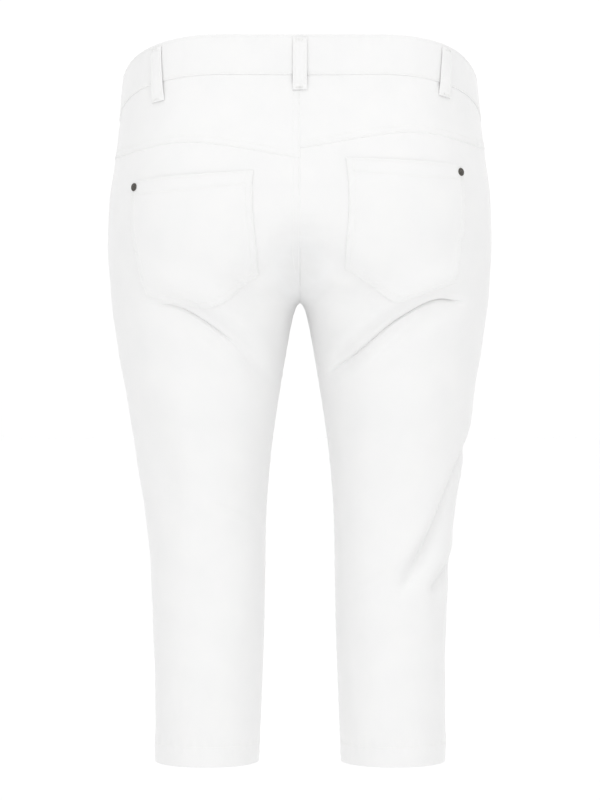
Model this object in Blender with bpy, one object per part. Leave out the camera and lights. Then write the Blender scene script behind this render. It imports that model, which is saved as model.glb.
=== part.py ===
"""Capri trousers, held in the filled-out form they take when worn.

The garment faces -Y, the wearer's left side is +X and up is +Z. The origin is the centre of the
waist opening, where the wearer holds it up. Every cloth piece is a closed wall whose outer face
lies on one worn form. A point of that form is named by three values:

side    LEFT or RIGHT half of the garment
turn    -1 at the centre front or front inseam, 0 at the side seam, 1 at the centre back or
        back inseam, in equal shares of the way round
level   height

What lies on a panel is placed by across and level. across is the distance round from the side
seam, turn times reach(), and is negative on the front. All are in metres.
"""

import math
from collections import namedtuple

import bmesh
import bpy
import numpy as np
from mathutils import Matrix, Vector

MM = 0.001
LEFT, RIGHT = 1, -1
SIDE_NAMES = {LEFT: "left", RIGHT: "right"}
BACK, FRONT = 1, -1

# ---------------------------------------------------------------- driving sizes, in metres

HEM_LEVEL = -0.7365
CROTCH_LEVEL = -0.241
CROTCH_Y = 0.005
WAIST_SLOPE = 0.30  # the waist's edge rises this much for each metre towards the back

SEAT_RISE = 0.075  # height over which the seat seam sweeps up from the crotch
SEAT_BEND = 2.3  # 1 is a straight slant, 2 is a quarter ellipse
FRONT_RISE = 0.110
FRONT_BEND = 1.60
SEAT_HOLLOW = 0.007  # how far the seat seam lies in from the fullest part of the seat
INSEAM_DRIFT = 0.20  # height over which the inseam moves from the crotch's depth to the leg's
ROUNDNESS = 2.12  # exponent of the sections' superellipse quarters

SEAM_FADE = 0.040  # folds die out this far from the inseam and above the crotch
LIP_OFFSET, LIP_WIDTH = 1.9, 1.3  # of the cloth over a fold's trough, in widths of the trough

SEAM_GAP = 0.3 * MM
CLOTH = 1.2 * MM
HEM_CLOTH = 2.0 * MM
HEM_DEPTH = 24 * MM
HEM_EASE = 5 * MM  # height over which the wall thickens to the hem
BAND_HEIGHT = 43 * MM
BAND_CLOTH = 2.0 * MM
BAND_PROUD = 0.7 * MM  # the waistband's outer face stands this far out of the panels'
BAND_LAP = 20 * MM  # the waistband's front end, past the centre front

PATCH_GAP = 0.6 * MM  # between a piece sewn on a panel and that panel
PATCH_CLOTH = 1.2 * MM
FLY_WIDTH = 36 * MM
FLY_LENGTH = 135 * MM
FLY_CURVE = 47 * MM  # height of the curve at its foot
FLY_EDGE = 1.8 * MM  # how far the fly's edge stops short of the centre front

LOOP_WIDTH = 15 * MM
LOOP_CLOTH = 1.6 * MM
LOOP_ARCH = 1.7 * MM  # how far the middle of a belt loop bows out from its ends
LOOP_TOP_INSET = 4 * MM
LOOP_RISE, LOOP_FALL = 0.22, 0.30  # shares of a loop's length that bow out and come back
LOOP_STEP, LOOP_STEP_LENGTH = 0.80, 0.16  # shares of its length: where it steps off the band

RIVET_RADIUS = 4.3 * MM
RIVET_LIFT = 0.4 * MM  # a flat rivet's clearance over the pocket's curve
BUTTON_RADIUS = 8.5 * MM
BUTTON_TURN = -0.999
# Turned profiles as (radius, height), in shares of the piece's radius.
RIVET_PROFILE = [(0, 0), (1, 0), (1, 0.3), (0.8, 0.42), (0.45, 0.47), (0.3, 0.42), (0, 0.42)]
BUTTON_PROFILE = [(0, 0), (0.45, 0), (0.45, 0.14), (0.93, 0.16), (1, 0.24), (0.96, 0.36),
                  (0.84, 0.42), (0.7, 0.36), (0, 0.33)]

# The worn form, section by section. parting sets how far the inner leg stands off the centre
# plane: parting times the square root of the distance below the crotch.
Section = namedtuple("Section", "level outer_x parting front_y back_y side_y front_x back_x")
SECTIONS = [
    Section(-0.760, 0.1567, 0.0628, -0.0600, 0.0670, 0.004, 0.101, 0.101),
    Section(-0.661, 0.1573, 0.0636, -0.0610, 0.0710, 0.005, 0.099, 0.099),
    Section(-0.596, 0.1584, 0.0652, -0.0640, 0.0735, 0.005, 0.098, 0.098),
    Section(-0.530, 0.1611, 0.0700, -0.0690, 0.0760, 0.004, 0.099, 0.099),
    Section(-0.465, 0.1676, 0.0765, -0.0760, 0.0810, 0.003, 0.102, 0.102),
    Section(-0.400, 0.1785, 0.0776, -0.0850, 0.0900, 0.003, 0.105, 0.104),
    Section(-0.335, 0.1893, 0.0706, -0.0950, 0.1020, 0.004, 0.107, 0.105),
    Section(-0.286, 0.1975, 0.0630, -0.1020, 0.1120, 0.005, 0.106, 0.105),
    Section(-0.243, 0.2032, 0.0600, -0.1080, 0.1230, 0.005, 0.104, 0.105),
    Section(-0.216, 0.2056, 0.0600, -0.1120, 0.1320, 0.005, 0.101, 0.104),
    Section(-0.172, 0.2072, 0.0600, -0.1180, 0.1440, 0.005, 0.095, 0.100),
    Section(-0.129, 0.2050, 0.0600, -0.1225, 0.1480, 0.005, 0.088, 0.094),
    Section(-0.075, 0.1985, 0.0600, -0.1225, 0.1420, 0.004, 0.082, 0.086),
    Section(-0.020, 0.1930, 0.0600, -0.1185, 0.1300, -0.002, 0.078, 0.083),
    Section(0.020, 0.1890, 0.0600, -0.1150, 0.1225, -0.006, 0.076, 0.084),
    Section(0.060, 0.1868, 0.0600, -0.1120, 0.1185, -0.008, 0.076, 0.084),
]

# The seam under the back yoke, from the side seam to the centre back.
YokePoint = namedtuple("YokePoint", "turn level")
YOKE_SEAM = [
    YokePoint(0.00, -0.0765),
    YokePoint(0.30, -0.0755),
    YokePoint(0.56, -0.0680),
    YokePoint(1.00, -0.0840),
]
YOKE_DROP = {LEFT: 0.0105, RIGHT: 0.0}  # the left side is worn a little lower

# Corners of the back pockets, in order round each.
Corner = namedtuple("Corner", "side across level")
POCKET_CORNERS = [
    Corner(LEFT, 0.1050, -0.1175),
    Corner(LEFT, 0.1135, -0.2380),
    Corner(LEFT, 0.1760, -0.2525),
    Corner(LEFT, 0.2530, -0.2190),
    Corner(LEFT, 0.2440, -0.1077),
    Corner(RIGHT, 0.1100, -0.1005),
    Corner(RIGHT, 0.1200, -0.2246),
    Corner(RIGHT, 0.1750, -0.2455),
    Corner(RIGHT, 0.2495, -0.2110),
    Corner(RIGHT, 0.2425, -0.0945),
]

# Rivets, one near each pocket's outer top corner.
Rivet = namedtuple("Rivet", "side across level")
RIVETS = [Rivet(LEFT, 0.1112, -0.1232), Rivet(RIGHT, 0.1158, -0.1076)]

# Belt loops: where their tops and feet are, and how far they reach below the waistband.
Loop = namedtuple("Loop", "name side top_turn foot_turn tail")
BELT_LOOPS = [
    Loop("belt_loop_back", LEFT, 1.0, 1.0, 0.0160),
    Loop("belt_loop_back_left", LEFT, 0.415, 0.450, 0.0215),
    Loop("belt_loop_back_right", RIGHT, 0.400, 0.433, 0.0150),
    Loop("belt_loop_front_left", LEFT, -0.500, -0.520, 0.0160),
    Loop("belt_loop_front_right", RIGHT, -0.500, -0.520, 0.0150),
]

# The largest folds, as soft troughs with a lip of cloth above. A path is (across, level) points,
# depth and width are the trough's, lip is the share of the depth by which the cloth above stands
# out, and fade is the share of the path lost at each end.
Fold = namedtuple("Fold", "side depth width lip fade path")
FOLDS = [
    # under the seat, from below the pocket to the inner thigh
    Fold(LEFT, 0.0070, 0.013, 0.45, 0.35,
         [(0.090, -0.246), (0.143, -0.249), (0.183, -0.274), (0.225, -0.318), (0.252, -0.340)]),
    Fold(RIGHT, 0.0095, 0.012, 0.40, 0.25,
         [(0.078, -0.246), (0.126, -0.242), (0.167, -0.2615), (0.210, -0.298), (0.255, -0.321)]),
    Fold(RIGHT, 0.0035, 0.011, 0.30, 0.40, [(0.120, -0.243), (0.147, -0.263), (0.178, -0.294)]),
    # where the seat turns under, across the centre back
    Fold(RIGHT, 0.0060, 0.016, 0.0, 0.40, [(0.232, -0.202), (0.292, -0.196), (0.348, -0.200)]),
    # the hollow between the seat's halves
    Fold(LEFT, 0.0080, 0.022, 0.0, 0.35,
         [(0.2955, -0.150), (0.2965, -0.180), (0.3000, -0.200), (0.3150, -0.240)]),
    # drag lines that run up and out from the crotch, at the back and the front
    Fold(LEFT, 0.0080, 0.018, 0.10, 0.35, [(0.190, -0.243), (0.240, -0.228), (0.290, -0.207)]),
    Fold(RIGHT, 0.0085, 0.018, 0.10, 0.35, [(0.176, -0.249), (0.233, -0.229), (0.286, -0.205)]),
    Fold(LEFT, 0.0050, 0.016, 0.30, 0.40, [(-0.140, -0.160), (-0.195, -0.184), (-0.245, -0.208)]),
    Fold(RIGHT, 0.0055, 0.016, 0.30, 0.40, [(-0.130, -0.170), (-0.190, -0.192), (-0.245, -0.212)]),
    Fold(LEFT, 0.0045, 0.018, 0.30, 0.40, [(-0.120, -0.238), (-0.175, -0.250), (-0.225, -0.262)]),
    Fold(RIGHT, 0.0050, 0.018, 0.30, 0.40, [(-0.115, -0.250), (-0.170, -0.262), (-0.220, -0.272)]),
    # slack about the knees
    Fold(RIGHT, 0.0065, 0.013, 0.30, 0.20,
         [(-0.040, -0.372), (0.026, -0.412), (0.057, -0.480), (0.077, -0.518), (0.100, -0.555)]),
    Fold(RIGHT, 0.0050, 0.013, 0.50, 0.30, [(-0.008, -0.510), (0.022, -0.531), (0.064, -0.556)]),
    Fold(LEFT, 0.0045, 0.026, 0.20, 0.35, [(0.060, -0.330), (0.078, -0.400), (0.070, -0.480)]),
    Fold(LEFT, 0.0045, 0.018, 0.40, 0.35, [(-0.045, -0.440), (-0.105, -0.470), (-0.160, -0.462)]),
    Fold(RIGHT, 0.0045, 0.018, 0.40, 0.35, [(-0.065, -0.470), (-0.115, -0.492), (-0.165, -0.480)]),
]

# ---------------------------------------------------------------- facets

OUTLINE_STEPS = 60  # for measuring round a section
REACH_LEVELS = np.arange(-0.745, 0.046, 0.001)
REACH_SPREAD = 28 * MM  # up and down, for evening the sections' lengths
INNER_START = 0.55  # turn at which the inner part of a section starts
LONGEST_SPLIT = 1.5  # times the other diagonal of a cell
CENTRE_EASE = 15 * MM  # from the centre plane, where folds stop moving the cloth sideways
PANEL_COLUMNS = {BACK: 21, FRONT: 14}
SEAM_CROWDING = 1.9  # rows crowd towards the crotch along the centre seams
YOKE_ROWS = 3
BAND_ROWS = 2
# Spacing of the panels' rows, closest where the folds are.
RowSpacing = namedtuple("RowSpacing", "level back front")
ROW_SPACINGS = [
    RowSpacing(-0.740, 0.032, 0.040),
    RowSpacing(-0.620, 0.026, 0.034),
    RowSpacing(-0.520, 0.018, 0.026),
    RowSpacing(-0.400, 0.015, 0.022),
    RowSpacing(-0.345, 0.0085, 0.017),
    RowSpacing(-0.210, 0.0085, 0.014),
    RowSpacing(-0.150, 0.016, 0.017),
    RowSpacing(-0.070, 0.022, 0.024),
]
SPACING_SAMPLES = 300
LOOP_COLUMNS, LOOP_ROWS = 2, 10
FLY_CURVE_STEPS = 6
LEAST_FACET = 0.8 * MM
LEAST_TURN = 0.02  # between the end of a waistband and its next column
TURNED_STEPS = 16
SMOOTH_ANGLE = math.radians(40)
NORMAL_STEP = 0.0005  # in turn and in level, for measuring a surface's slopes


# ---------------------------------------------------------------- the worn form


def through_rows(rows, key, column, at):
    """One column of a table of rows, at the given key values, on a smooth curve through the rows."""
    keys = np.array([getattr(row, key) for row in rows])
    values = np.array([getattr(row, column) for row in rows])
    slopes = np.gradient(values, keys)
    at = np.clip(at, keys[0], keys[-1])
    upper = np.clip(np.searchsorted(keys, at), 1, len(keys) - 1)
    lower = upper - 1
    span = keys[upper] - keys[lower]
    share = (at - keys[lower]) / span
    return (
        values[lower] * (1 + 2 * share) * (1 - share) ** 2
        + values[upper] * share**2 * (3 - 2 * share)
        + slopes[lower] * span * share * (1 - share) ** 2
        - slopes[upper] * span * share**2 * (1 - share)
    )


def eased(share):
    share = np.clip(share, 0.0, 1.0)
    return share**2 * (3 - 2 * share)


def swept(share, bend):
    """0 to 1 along a curve that starts level and ends upright."""
    return (1 - (1 - np.clip(share, 0.0, 1.0)) ** bend) ** (1 / bend)


def outline(back, level, step):
    """x and y on one half-section. step is 0 at the side seam, 1 at the fullest point of the
    front or back, and 2 at the inner edge: the inseam, or above the crotch the centre seam."""

    def column(name):
        return through_rows(SECTIONS, "level", name, level)

    outer_x, side_y = column("outer_x"), column("side_y")
    full_x = np.where(back, column("back_x"), column("front_x"))
    full_y = np.where(back, column("back_y"), column("front_y"))
    inner_x = column("parting") * np.sqrt(np.maximum(CROTCH_LEVEL - level, 0.0))

    above = (level - CROTCH_LEVEL) / np.where(back, SEAT_RISE, FRONT_RISE)
    bend = np.where(back, SEAT_BEND, FRONT_BEND)
    seam_y = full_y - np.where(back, SEAT_HOLLOW, 0.0) * eased(2 - above / 2)
    below_y = CROTCH_Y + (side_y - CROTCH_Y) * eased((CROTCH_LEVEL - level) / INSEAM_DRIFT)
    inner_y = np.where(above > 0, CROTCH_Y + (seam_y - CROTCH_Y) * swept(above, bend), below_y)

    power = 2 / ROUNDNESS
    outer_angle = np.clip(step, 0, 1) * math.pi / 2
    outer_part_x = full_x + (outer_x - full_x) * np.clip(np.cos(outer_angle), 0, 1) ** power
    outer_part_y = side_y + (full_y - side_y) * np.clip(np.sin(outer_angle), 0, 1) ** power

    along = np.clip(step - 1, 0, 1)
    inner_angle = along * math.pi / 2
    leg_x = full_x + (inner_x - full_x) * np.clip(np.sin(inner_angle), 0, 1) ** power
    leg_y = inner_y + (full_y - inner_y) * np.clip(np.cos(inner_angle), 0, 1) ** power
    body_x = full_x * (1 - along)
    body_y = full_y + (inner_y - full_y) * eased(along)
    mix = eased(above)
    inner_part_x = leg_x + (body_x - leg_x) * mix
    inner_part_y = leg_y + (body_y - leg_y) * mix

    on_outer = step <= 1
    return (
        np.where(on_outer, outer_part_x, inner_part_x),
        np.where(on_outer, outer_part_y, inner_part_y),
    )


def round_the_section(back, level):
    """Distances from the side seam along the half-section, for even steps of outline()."""
    steps = np.linspace(0, 2, OUTLINE_STEPS + 1)
    x, y = outline(back[:, None], level[:, None], steps[None, :])
    pieces = np.hypot(np.diff(x, axis=1), np.diff(y, axis=1))
    return steps, np.concatenate([np.zeros((len(level), 1)), np.cumsum(pieces, axis=1)], axis=1)


def even_lengths(back):
    """Lengths of the half-sections at the reach levels, averaged up and down."""
    lengths = round_the_section(np.full(len(REACH_LEVELS), back), REACH_LEVELS)[1][:, -1]
    apart = (REACH_LEVELS[:, None] - REACH_LEVELS) / REACH_SPREAD
    weights = np.exp(-(apart**2) / 2)
    return weights @ lengths / weights.sum(axis=1)


BACK_REACH, FRONT_REACH = even_lengths(True), even_lengths(False)


def reach(turn, level):
    """Even length of the half-section, from the side seam to the inner edge. The true length
    jumps at the crotch."""
    turn, level = np.broadcast_arrays(np.atleast_1d(turn), np.atleast_1d(level))
    back = np.interp(level, REACH_LEVELS, BACK_REACH)
    front = np.interp(level, REACH_LEVELS, FRONT_REACH)
    return np.where(turn >= 0, back, front)


def past_the_edge(side, turn, level):
    """The same places, with those past an inner edge named from where they lie: on the other
    panel of the leg below the crotch, and on the other half of the garment above it."""
    side, turn, level = np.broadcast_arrays(*np.atleast_1d(side, turn, level))
    crossed, above = np.abs(turn) > 1, level > CROTCH_LEVEL
    rest = np.sign(turn) * (2 - np.abs(turn))
    side = np.where(crossed & above, -side, side)
    return side, np.where(crossed, np.where(above, rest, -rest), turn), level


def form_point(side, turn, level):
    """Points of the smooth form, without its folds. The inner part of a section takes up the
    difference between its true length and its even one."""
    side, turn, level = past_the_edge(side, turn, level)
    back = turn >= 0
    steps, lengths = round_the_section(back, level)
    even = reach(turn, level)
    inner = eased((np.abs(turn) - INNER_START) / (1 - INNER_START))
    wanted = np.abs(turn) * even + (lengths[:, -1] - even) * inner
    upper = np.clip((lengths < wanted[:, None]).sum(axis=1), 1, len(steps) - 1)
    each = np.arange(len(upper))
    start, end = lengths[each, upper - 1], lengths[each, upper]
    share = (wanted - start) / np.maximum(end - start, 1e-12)
    step = steps[upper - 1] + (steps[upper] - steps[upper - 1]) * share
    x, y = outline(back, level, step)
    return np.stack([side * (x + SEAM_GAP / 2), y, level], axis=1)


def smooth_path(points, count=28):
    """count points on a Catmull-Rom curve through the given (across, level) points."""
    points = np.array(points, float)
    rows = np.vstack([2 * points[0] - points[1], points, 2 * points[-1] - points[-2]])
    at = np.linspace(0, len(points) - 1, count)
    first = np.minimum(at.astype(int), len(points) - 2)
    s = (at - first)[:, None]
    a, b, c, d = (rows[first + k] for k in range(4))
    return 0.5 * (2 * b + (c - a) * s + (2 * a - 5 * b + 4 * c - d) * s**2
                  + (3 * b - a - 3 * c + d) * s**3)


def fold_relief(fold, across, level):
    """How far out one fold moves places that lie across metres round from the side seam."""
    path = smooth_path(fold.path)
    steps = np.linalg.norm(np.diff(path, axis=0), axis=1)
    path_length = steps.sum()
    share = np.concatenate([[0], np.cumsum(steps)]) / path_length
    heading = np.gradient(path, axis=0)
    heading /= np.linalg.norm(heading, axis=1)[:, None]

    from_path = np.stack([across, level], axis=1)[:, None] - path
    nearest = np.argmin((from_path**2).sum(axis=2), axis=1)
    from_path, heading = from_path[np.arange(len(level)), nearest], heading[nearest]
    along = share[nearest] + (from_path * heading).sum(axis=1) / path_length
    above = from_path[:, 1] * heading[:, 0] - from_path[:, 0] * heading[:, 1]
    above *= np.sign(path[-1, 0] - path[0, 0])

    above /= fold.width
    trough = -np.exp(-(above**2))
    lip = fold.lip * np.exp(-(((above - LIP_OFFSET) / LIP_WIDTH) ** 2))
    strength = eased(along / fold.fade) * eased((1 - along) / fold.fade)
    return fold.depth * strength * (trough + lip)


def relief(side, turn, level):
    """How far the folds move each point of the cloth out of the smooth form. A fold may run
    over the centre seams, but none reaches the inseam or the crotch."""
    side, turn, level = past_the_edge(side, turn, level)
    length = reach(turn, level)
    from_other_half = np.where(turn >= 0, 2 - turn, -2 - turn)
    total = np.zeros(len(level))
    for fold in FOLDS:
        across = np.where(side == fold.side, turn, from_other_half) * length
        total += fold_relief(fold, across, level)
    joined = eased((level - CROTCH_LEVEL) / SEAM_FADE)
    clear = eased((1 - np.abs(turn)) * length / SEAM_FADE)
    return total * (joined + (1 - joined) * clear)


def normal_of(surface, side, turn, level):
    """Outward unit normals of a surface given as a function of side, turn and level."""
    step = NORMAL_STEP
    by_turn = surface(side, turn + step, level) - surface(side, turn - step, level)
    by_level = surface(side, turn, level + step) - surface(side, turn, level - step)
    normal = np.cross(by_turn, by_level) * np.asarray(side)[:, None]
    return normal / np.linalg.norm(normal, axis=1)[:, None]


def cloth_point(side, turn, level):
    """Points of the cloth's outer face, folds included. A fold moves the edges on the centre
    plane within it, so the centre seams stay closed."""
    side, turn, level = np.broadcast_arrays(*np.atleast_1d(side, turn, level))
    place = form_point(side, turn, level)
    out = normal_of(form_point, side, turn, level)
    out[:, 0] *= eased(np.abs(place[:, 0]) / CENTRE_EASE)
    return place + out * relief(side, turn, level)[:, None]


def cloth_normal(side, turn, level):
    side, turn, level = np.broadcast_arrays(*np.atleast_1d(side, turn, level))
    return normal_of(cloth_point, side, turn, level)


# ---------------------------------------------------------------- seam lines


def waist_level(turn):
    """Height of the waist's edge, which slopes down to the front."""
    turn = np.atleast_1d(turn).astype(float)
    level = np.zeros_like(turn)
    for _ in range(4):
        level = WAIST_SLOPE * form_point(LEFT, turn, level)[:, 1]
    return level


def band_seam_level(turn):
    return waist_level(turn) - BAND_HEIGHT


def yoke_seam_level(side, turn):
    return through_rows(YOKE_SEAM, "turn", "level", np.abs(turn)) - YOKE_DROP[side]


# ---------------------------------------------------------------- making solids


def cloth_material():
    return material("white_twill", (0.90, 0.90, 0.89), roughness=0.85, metallic=0.0)


def gunmetal():
    return material("gunmetal", (0.12, 0.118, 0.11), roughness=0.38, metallic=0.9)


def material(name, colour, roughness, metallic):
    made = bpy.data.materials.get(name) or bpy.data.materials.new(name)
    made.use_nodes = True
    shader = made.node_tree.nodes["Principled BSDF"]
    shader.inputs["Base Color"].default_value = (*colour, 1.0)
    shader.inputs["Roughness"].default_value = roughness
    shader.inputs["Metallic"].default_value = metallic
    return made


def add_object(name, mesh_data, used_material):
    """Closes the bmesh into an object with its faces pointing out."""
    bmesh.ops.recalc_face_normals(mesh_data, faces=mesh_data.faces)
    mesh = bpy.data.meshes.new(name)
    mesh_data.to_mesh(mesh)
    mesh_data.free()
    mesh.shade_smooth()
    mesh.set_sharp_from_angle(angle=SMOOTH_ANGLE)
    mesh.materials.append(used_material)
    made = bpy.data.objects.new(name, mesh)
    bpy.context.scene.collection.objects.link(made)
    return made


def add_wall(name, side, turn, level, inner, outer):
    """A closed wall over a grid of (turn, level) places. inner and outer are how far its two
    faces lie from the cloth's outer face, as one value or one for each place."""
    rows, columns = turn.shape
    flat_side = np.broadcast_to(side, turn.shape).ravel()
    places = cloth_point(flat_side, turn.ravel(), level.ravel())
    out = cloth_normal(flat_side, turn.ravel(), level.ravel())
    mesh_data = bmesh.new()
    faces_of = []
    for offset in (outer, inner):
        offset = np.broadcast_to(offset, turn.shape).ravel()[:, None]
        grid = [mesh_data.verts.new(p) for p in places + out * offset]
        faces_of.append([grid[r * columns:(r + 1) * columns] for r in range(rows)])
    other_way = split_other_way(side, turn, level)
    for face_grid in faces_of:
        for r, c in np.ndindex(other_way.shape):
            mesh_data.faces.new(corners_of_cell(face_grid, r, c, other_way[r, c]))
    near, far = (border(face_grid) for face_grid in faces_of)
    for k in range(len(near)):
        after = (k + 1) % len(near)
        mesh_data.faces.new((near[k], near[after], far[after], far[k]))
    bmesh.ops.triangulate(mesh_data, faces=mesh_data.faces, quad_method="FIXED")
    return add_object(name, mesh_data, cloth_material())


def split_other_way(side, turn, level):
    """Whether each cell's diagonal from its second corner to its fourth lies nearer to the cloth
    than the one from its first to its third, and isn't much longer."""
    corners = cloth_point(np.broadcast_to(side, turn.size), turn.ravel(), level.ravel())
    corners = corners.reshape(*turn.shape, 3)
    middle_turn, middle_level = middles(turn), middles(level)
    middle = cloth_point(np.broadcast_to(side, middle_turn.size), middle_turn.ravel(),
                         middle_level.ravel()).reshape(*middle_turn.shape, 3)
    ends = [(corners[:-1, :-1], corners[1:, 1:]), (corners[:-1, 1:], corners[1:, :-1])]
    misses = [np.linalg.norm((start + end) / 2 - middle, axis=2) for start, end in ends]
    lengths = [np.linalg.norm(end - start, axis=2) for start, end in ends]
    return (misses[1] < misses[0]) & (lengths[1] < LONGEST_SPLIT * lengths[0])


def middles(grid):
    """Means of the four corners of each cell."""
    return (grid[:-1, :-1] + grid[:-1, 1:] + grid[1:, :-1] + grid[1:, 1:]) / 4


def corners_of_cell(grid, row, column, other_way):
    """Corners in the order that splits a cell from its first to its third, or from its second to
    its fourth."""
    corners = (grid[row][column], grid[row][column + 1],
               grid[row + 1][column + 1], grid[row + 1][column])
    return corners[1:] + corners[:1] if other_way else corners


def border(grid):
    """The grid's outer vertices, once round."""
    bottom, top = grid[0], grid[-1]
    right = [row[-1] for row in grid[1:-1]]
    left = [row[0] for row in grid[1:-1]]
    return bottom + right + top[::-1] + left[::-1]


def add_patch(name, side, turn, level, flat, outline_places):
    """A closed wall on part of a panel: the panel's own facets, cut to a convex outline and
    moved out. flat is the panel's grid laid out in the plane that the outline is drawn in."""
    mesh_data = bmesh.new()
    place_of = mesh_data.verts.layers.float_vector.new("place")
    out_of = mesh_data.verts.layers.float_vector.new("out")
    flat_side = np.broadcast_to(side, turn.shape).ravel()
    places = cloth_point(flat_side, turn.ravel(), level.ravel())
    outs = cloth_normal(flat_side, turn.ravel(), level.ravel())
    vertices = []
    for spot, place, out in zip(flat.reshape(-1, 2), places, outs):
        vertices.append(mesh_data.verts.new((*spot, 0)))
        vertices[-1][place_of], vertices[-1][out_of] = place, out
    rows, columns = turn.shape
    grid = [vertices[r * columns:(r + 1) * columns] for r in range(rows)]
    other_way = split_other_way(side, turn, level)
    for r, c in np.ndindex(other_way.shape):
        mesh_data.faces.new(corners_of_cell(grid, r, c, other_way[r, c]))
    bmesh.ops.triangulate(mesh_data, faces=mesh_data.faces, quad_method="FIXED")

    centre = np.mean(outline_places, axis=0)
    for start, end in zip(outline_places, np.roll(outline_places, -1, axis=0)):
        outward = np.array([end[1] - start[1], start[0] - end[0]])
        outward *= np.sign(np.dot(outward, start - centre))
        everything = mesh_data.verts[:] + mesh_data.edges[:] + mesh_data.faces[:]
        bmesh.ops.bisect_plane(mesh_data, geom=everything, plane_co=(*start, 0),
                               plane_no=(*outward, 0), clear_outer=True)

    for vertex in mesh_data.verts:
        vertex.co = vertex[place_of] + vertex[out_of] * PATCH_GAP
    bmesh.ops.remove_doubles(mesh_data, verts=mesh_data.verts, dist=LEAST_FACET)
    outer = bmesh.ops.duplicate(mesh_data, geom=mesh_data.faces[:])
    rim = [edge for edge in mesh_data.edges if edge.is_boundary]
    for element in outer["geom"]:
        if isinstance(element, bmesh.types.BMVert):
            element.co += element[out_of] * PATCH_CLOTH
    bmesh.ops.bridge_loops(mesh_data, edges=rim)
    bmesh.ops.triangulate(mesh_data, faces=mesh_data.faces)
    return add_object(name, mesh_data, cloth_material())


def add_turned(name, profile, size, side, turn, level, lift):
    """A round metal piece turned from a profile about the cloth's normal."""
    mesh_data = bmesh.new()
    points = [mesh_data.verts.new((radius * size, 0, height * size)) for radius, height in profile]
    edges = [mesh_data.edges.new(pair) for pair in zip(points, points[1:])]
    bmesh.ops.spin(mesh_data, geom=points + edges, cent=(0, 0, 0), axis=(0, 0, 1),
                   angle=math.tau, steps=TURNED_STEPS, use_merge=False)
    bmesh.ops.remove_doubles(mesh_data, verts=mesh_data.verts, dist=0.01 * MM)
    out = Vector(cloth_normal(side, turn, level)[0])
    seat = Vector(cloth_point(side, turn, level)[0]) + out * lift
    placed = Matrix.Translation(seat) @ out.to_track_quat("Z", "Y").to_matrix().to_4x4()
    made = add_object(name, mesh_data, gunmetal())
    made.matrix_world = placed
    return made


# ---------------------------------------------------------------- the garment's pieces


def graded(start, end, back):
    """Shares from 0 to 1 whose steps, between two levels, follow the row spacings."""
    levels = np.linspace(start, end, SPACING_SAMPLES)
    column = "back" if back == BACK else "front"
    spacing = through_rows(ROW_SPACINGS, "level", column, levels)
    rows = np.concatenate([[0], np.cumsum(np.diff(levels) / spacing[1:])])
    wanted = np.linspace(0, rows[-1], round(rows[-1]) + 1)
    return (np.interp(wanted, rows, levels) - start) / (end - start)


def panel_grid(side, back):
    """(turn, level) rows and columns of one front or back: hem to waistband, or hem to yoke,
    and side seam to inseam and centre."""
    across = np.linspace(0, 1, PANEL_COLUMNS[back] + 1)
    seam = yoke_seam_level(side, across) if back == BACK else band_seam_level(-across)
    top = seam - SEAM_GAP / 2
    leg = graded(HEM_LEVEL, CROTCH_LEVEL, back)[:-1, None]
    body = graded(CROTCH_LEVEL, top.mean(), back)[:, None]
    body = body + (body**SEAM_CROWDING - body) * across**2
    level = np.vstack([
        HEM_LEVEL + (CROTCH_LEVEL - HEM_LEVEL) * leg + 0 * across,
        CROTCH_LEVEL + (top - CROTCH_LEVEL) * body,
    ])
    return back * inset_from_seams(across, back, level), level


def inset_from_seams(across, back, level):
    """Shares of the way round that keep half a seam's gap at both ends."""
    edge = SEAM_GAP / 2 / reach(float(back), level.ravel()).reshape(level.shape)
    return edge + (1 - 2 * edge) * across


def leg_panel(side, back):
    turn, level = panel_grid(side, back)
    hemmed = eased((HEM_LEVEL + HEM_DEPTH + HEM_EASE - level) / HEM_EASE)
    inner = -(CLOTH + (HEM_CLOTH - CLOTH) * hemmed)
    name = ("back_" if back == BACK else "front_") + SIDE_NAMES[side]
    return add_wall(name, side, turn, level, inner, 0.0)


def yoke(side):
    across = np.linspace(0, 1, PANEL_COLUMNS[BACK] + 1)
    low = yoke_seam_level(side, across) + SEAM_GAP / 2
    high = band_seam_level(across) - SEAM_GAP / 2
    level = low + (high - low) * np.linspace(0, 1, YOKE_ROWS + 1)[:, None]
    turn = inset_from_seams(across, BACK, level)
    return add_wall("yoke_" + SIDE_NAMES[side], side, turn, level, -CLOTH, 0.0)


def waistband(side):
    """Half the waistband, from the centre back to the front lap. The left half ends past the
    centre front and the right half stops short of it."""
    front_half, back_half = reach(FRONT, 0.0)[0], reach(BACK, 0.0)[0]
    lap = BAND_LAP / front_half
    front = np.linspace(-1, 0, PANEL_COLUMNS[FRONT] + 1)
    back = np.linspace(0, 1, PANEL_COLUMNS[BACK] + 1)
    back[-1] -= SEAM_GAP / 2 / back_half
    if side == LEFT:
        turn = np.concatenate([[-1 - lap], front, back[1:]])
    else:
        start = -1 + lap + SEAM_GAP / front_half
        turn = np.concatenate([[start], front[front > start + LEAST_TURN], back[1:]])
    high = waist_level(np.where(turn < -1, -2 - turn, turn))
    low = high - BAND_HEIGHT + SEAM_GAP / 2
    level = low + (high - low) * np.linspace(0, 1, BAND_ROWS + 1)[:, None]
    turn = np.broadcast_to(turn, level.shape)
    return add_wall("waistband_" + SIDE_NAMES[side], side, turn, level,
                    BAND_PROUD - BAND_CLOTH, BAND_PROUD)


def back_pocket(side):
    turn, level = panel_grid(side, BACK)
    across = turn * reach(turn.ravel(), level.ravel()).reshape(turn.shape)
    corners = [(c.across, c.level) for c in POCKET_CORNERS if c.side == side]
    return add_patch("back_pocket_" + SIDE_NAMES[side], side, turn, level,
                     np.stack([across, level], axis=2), np.array(corners))


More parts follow.
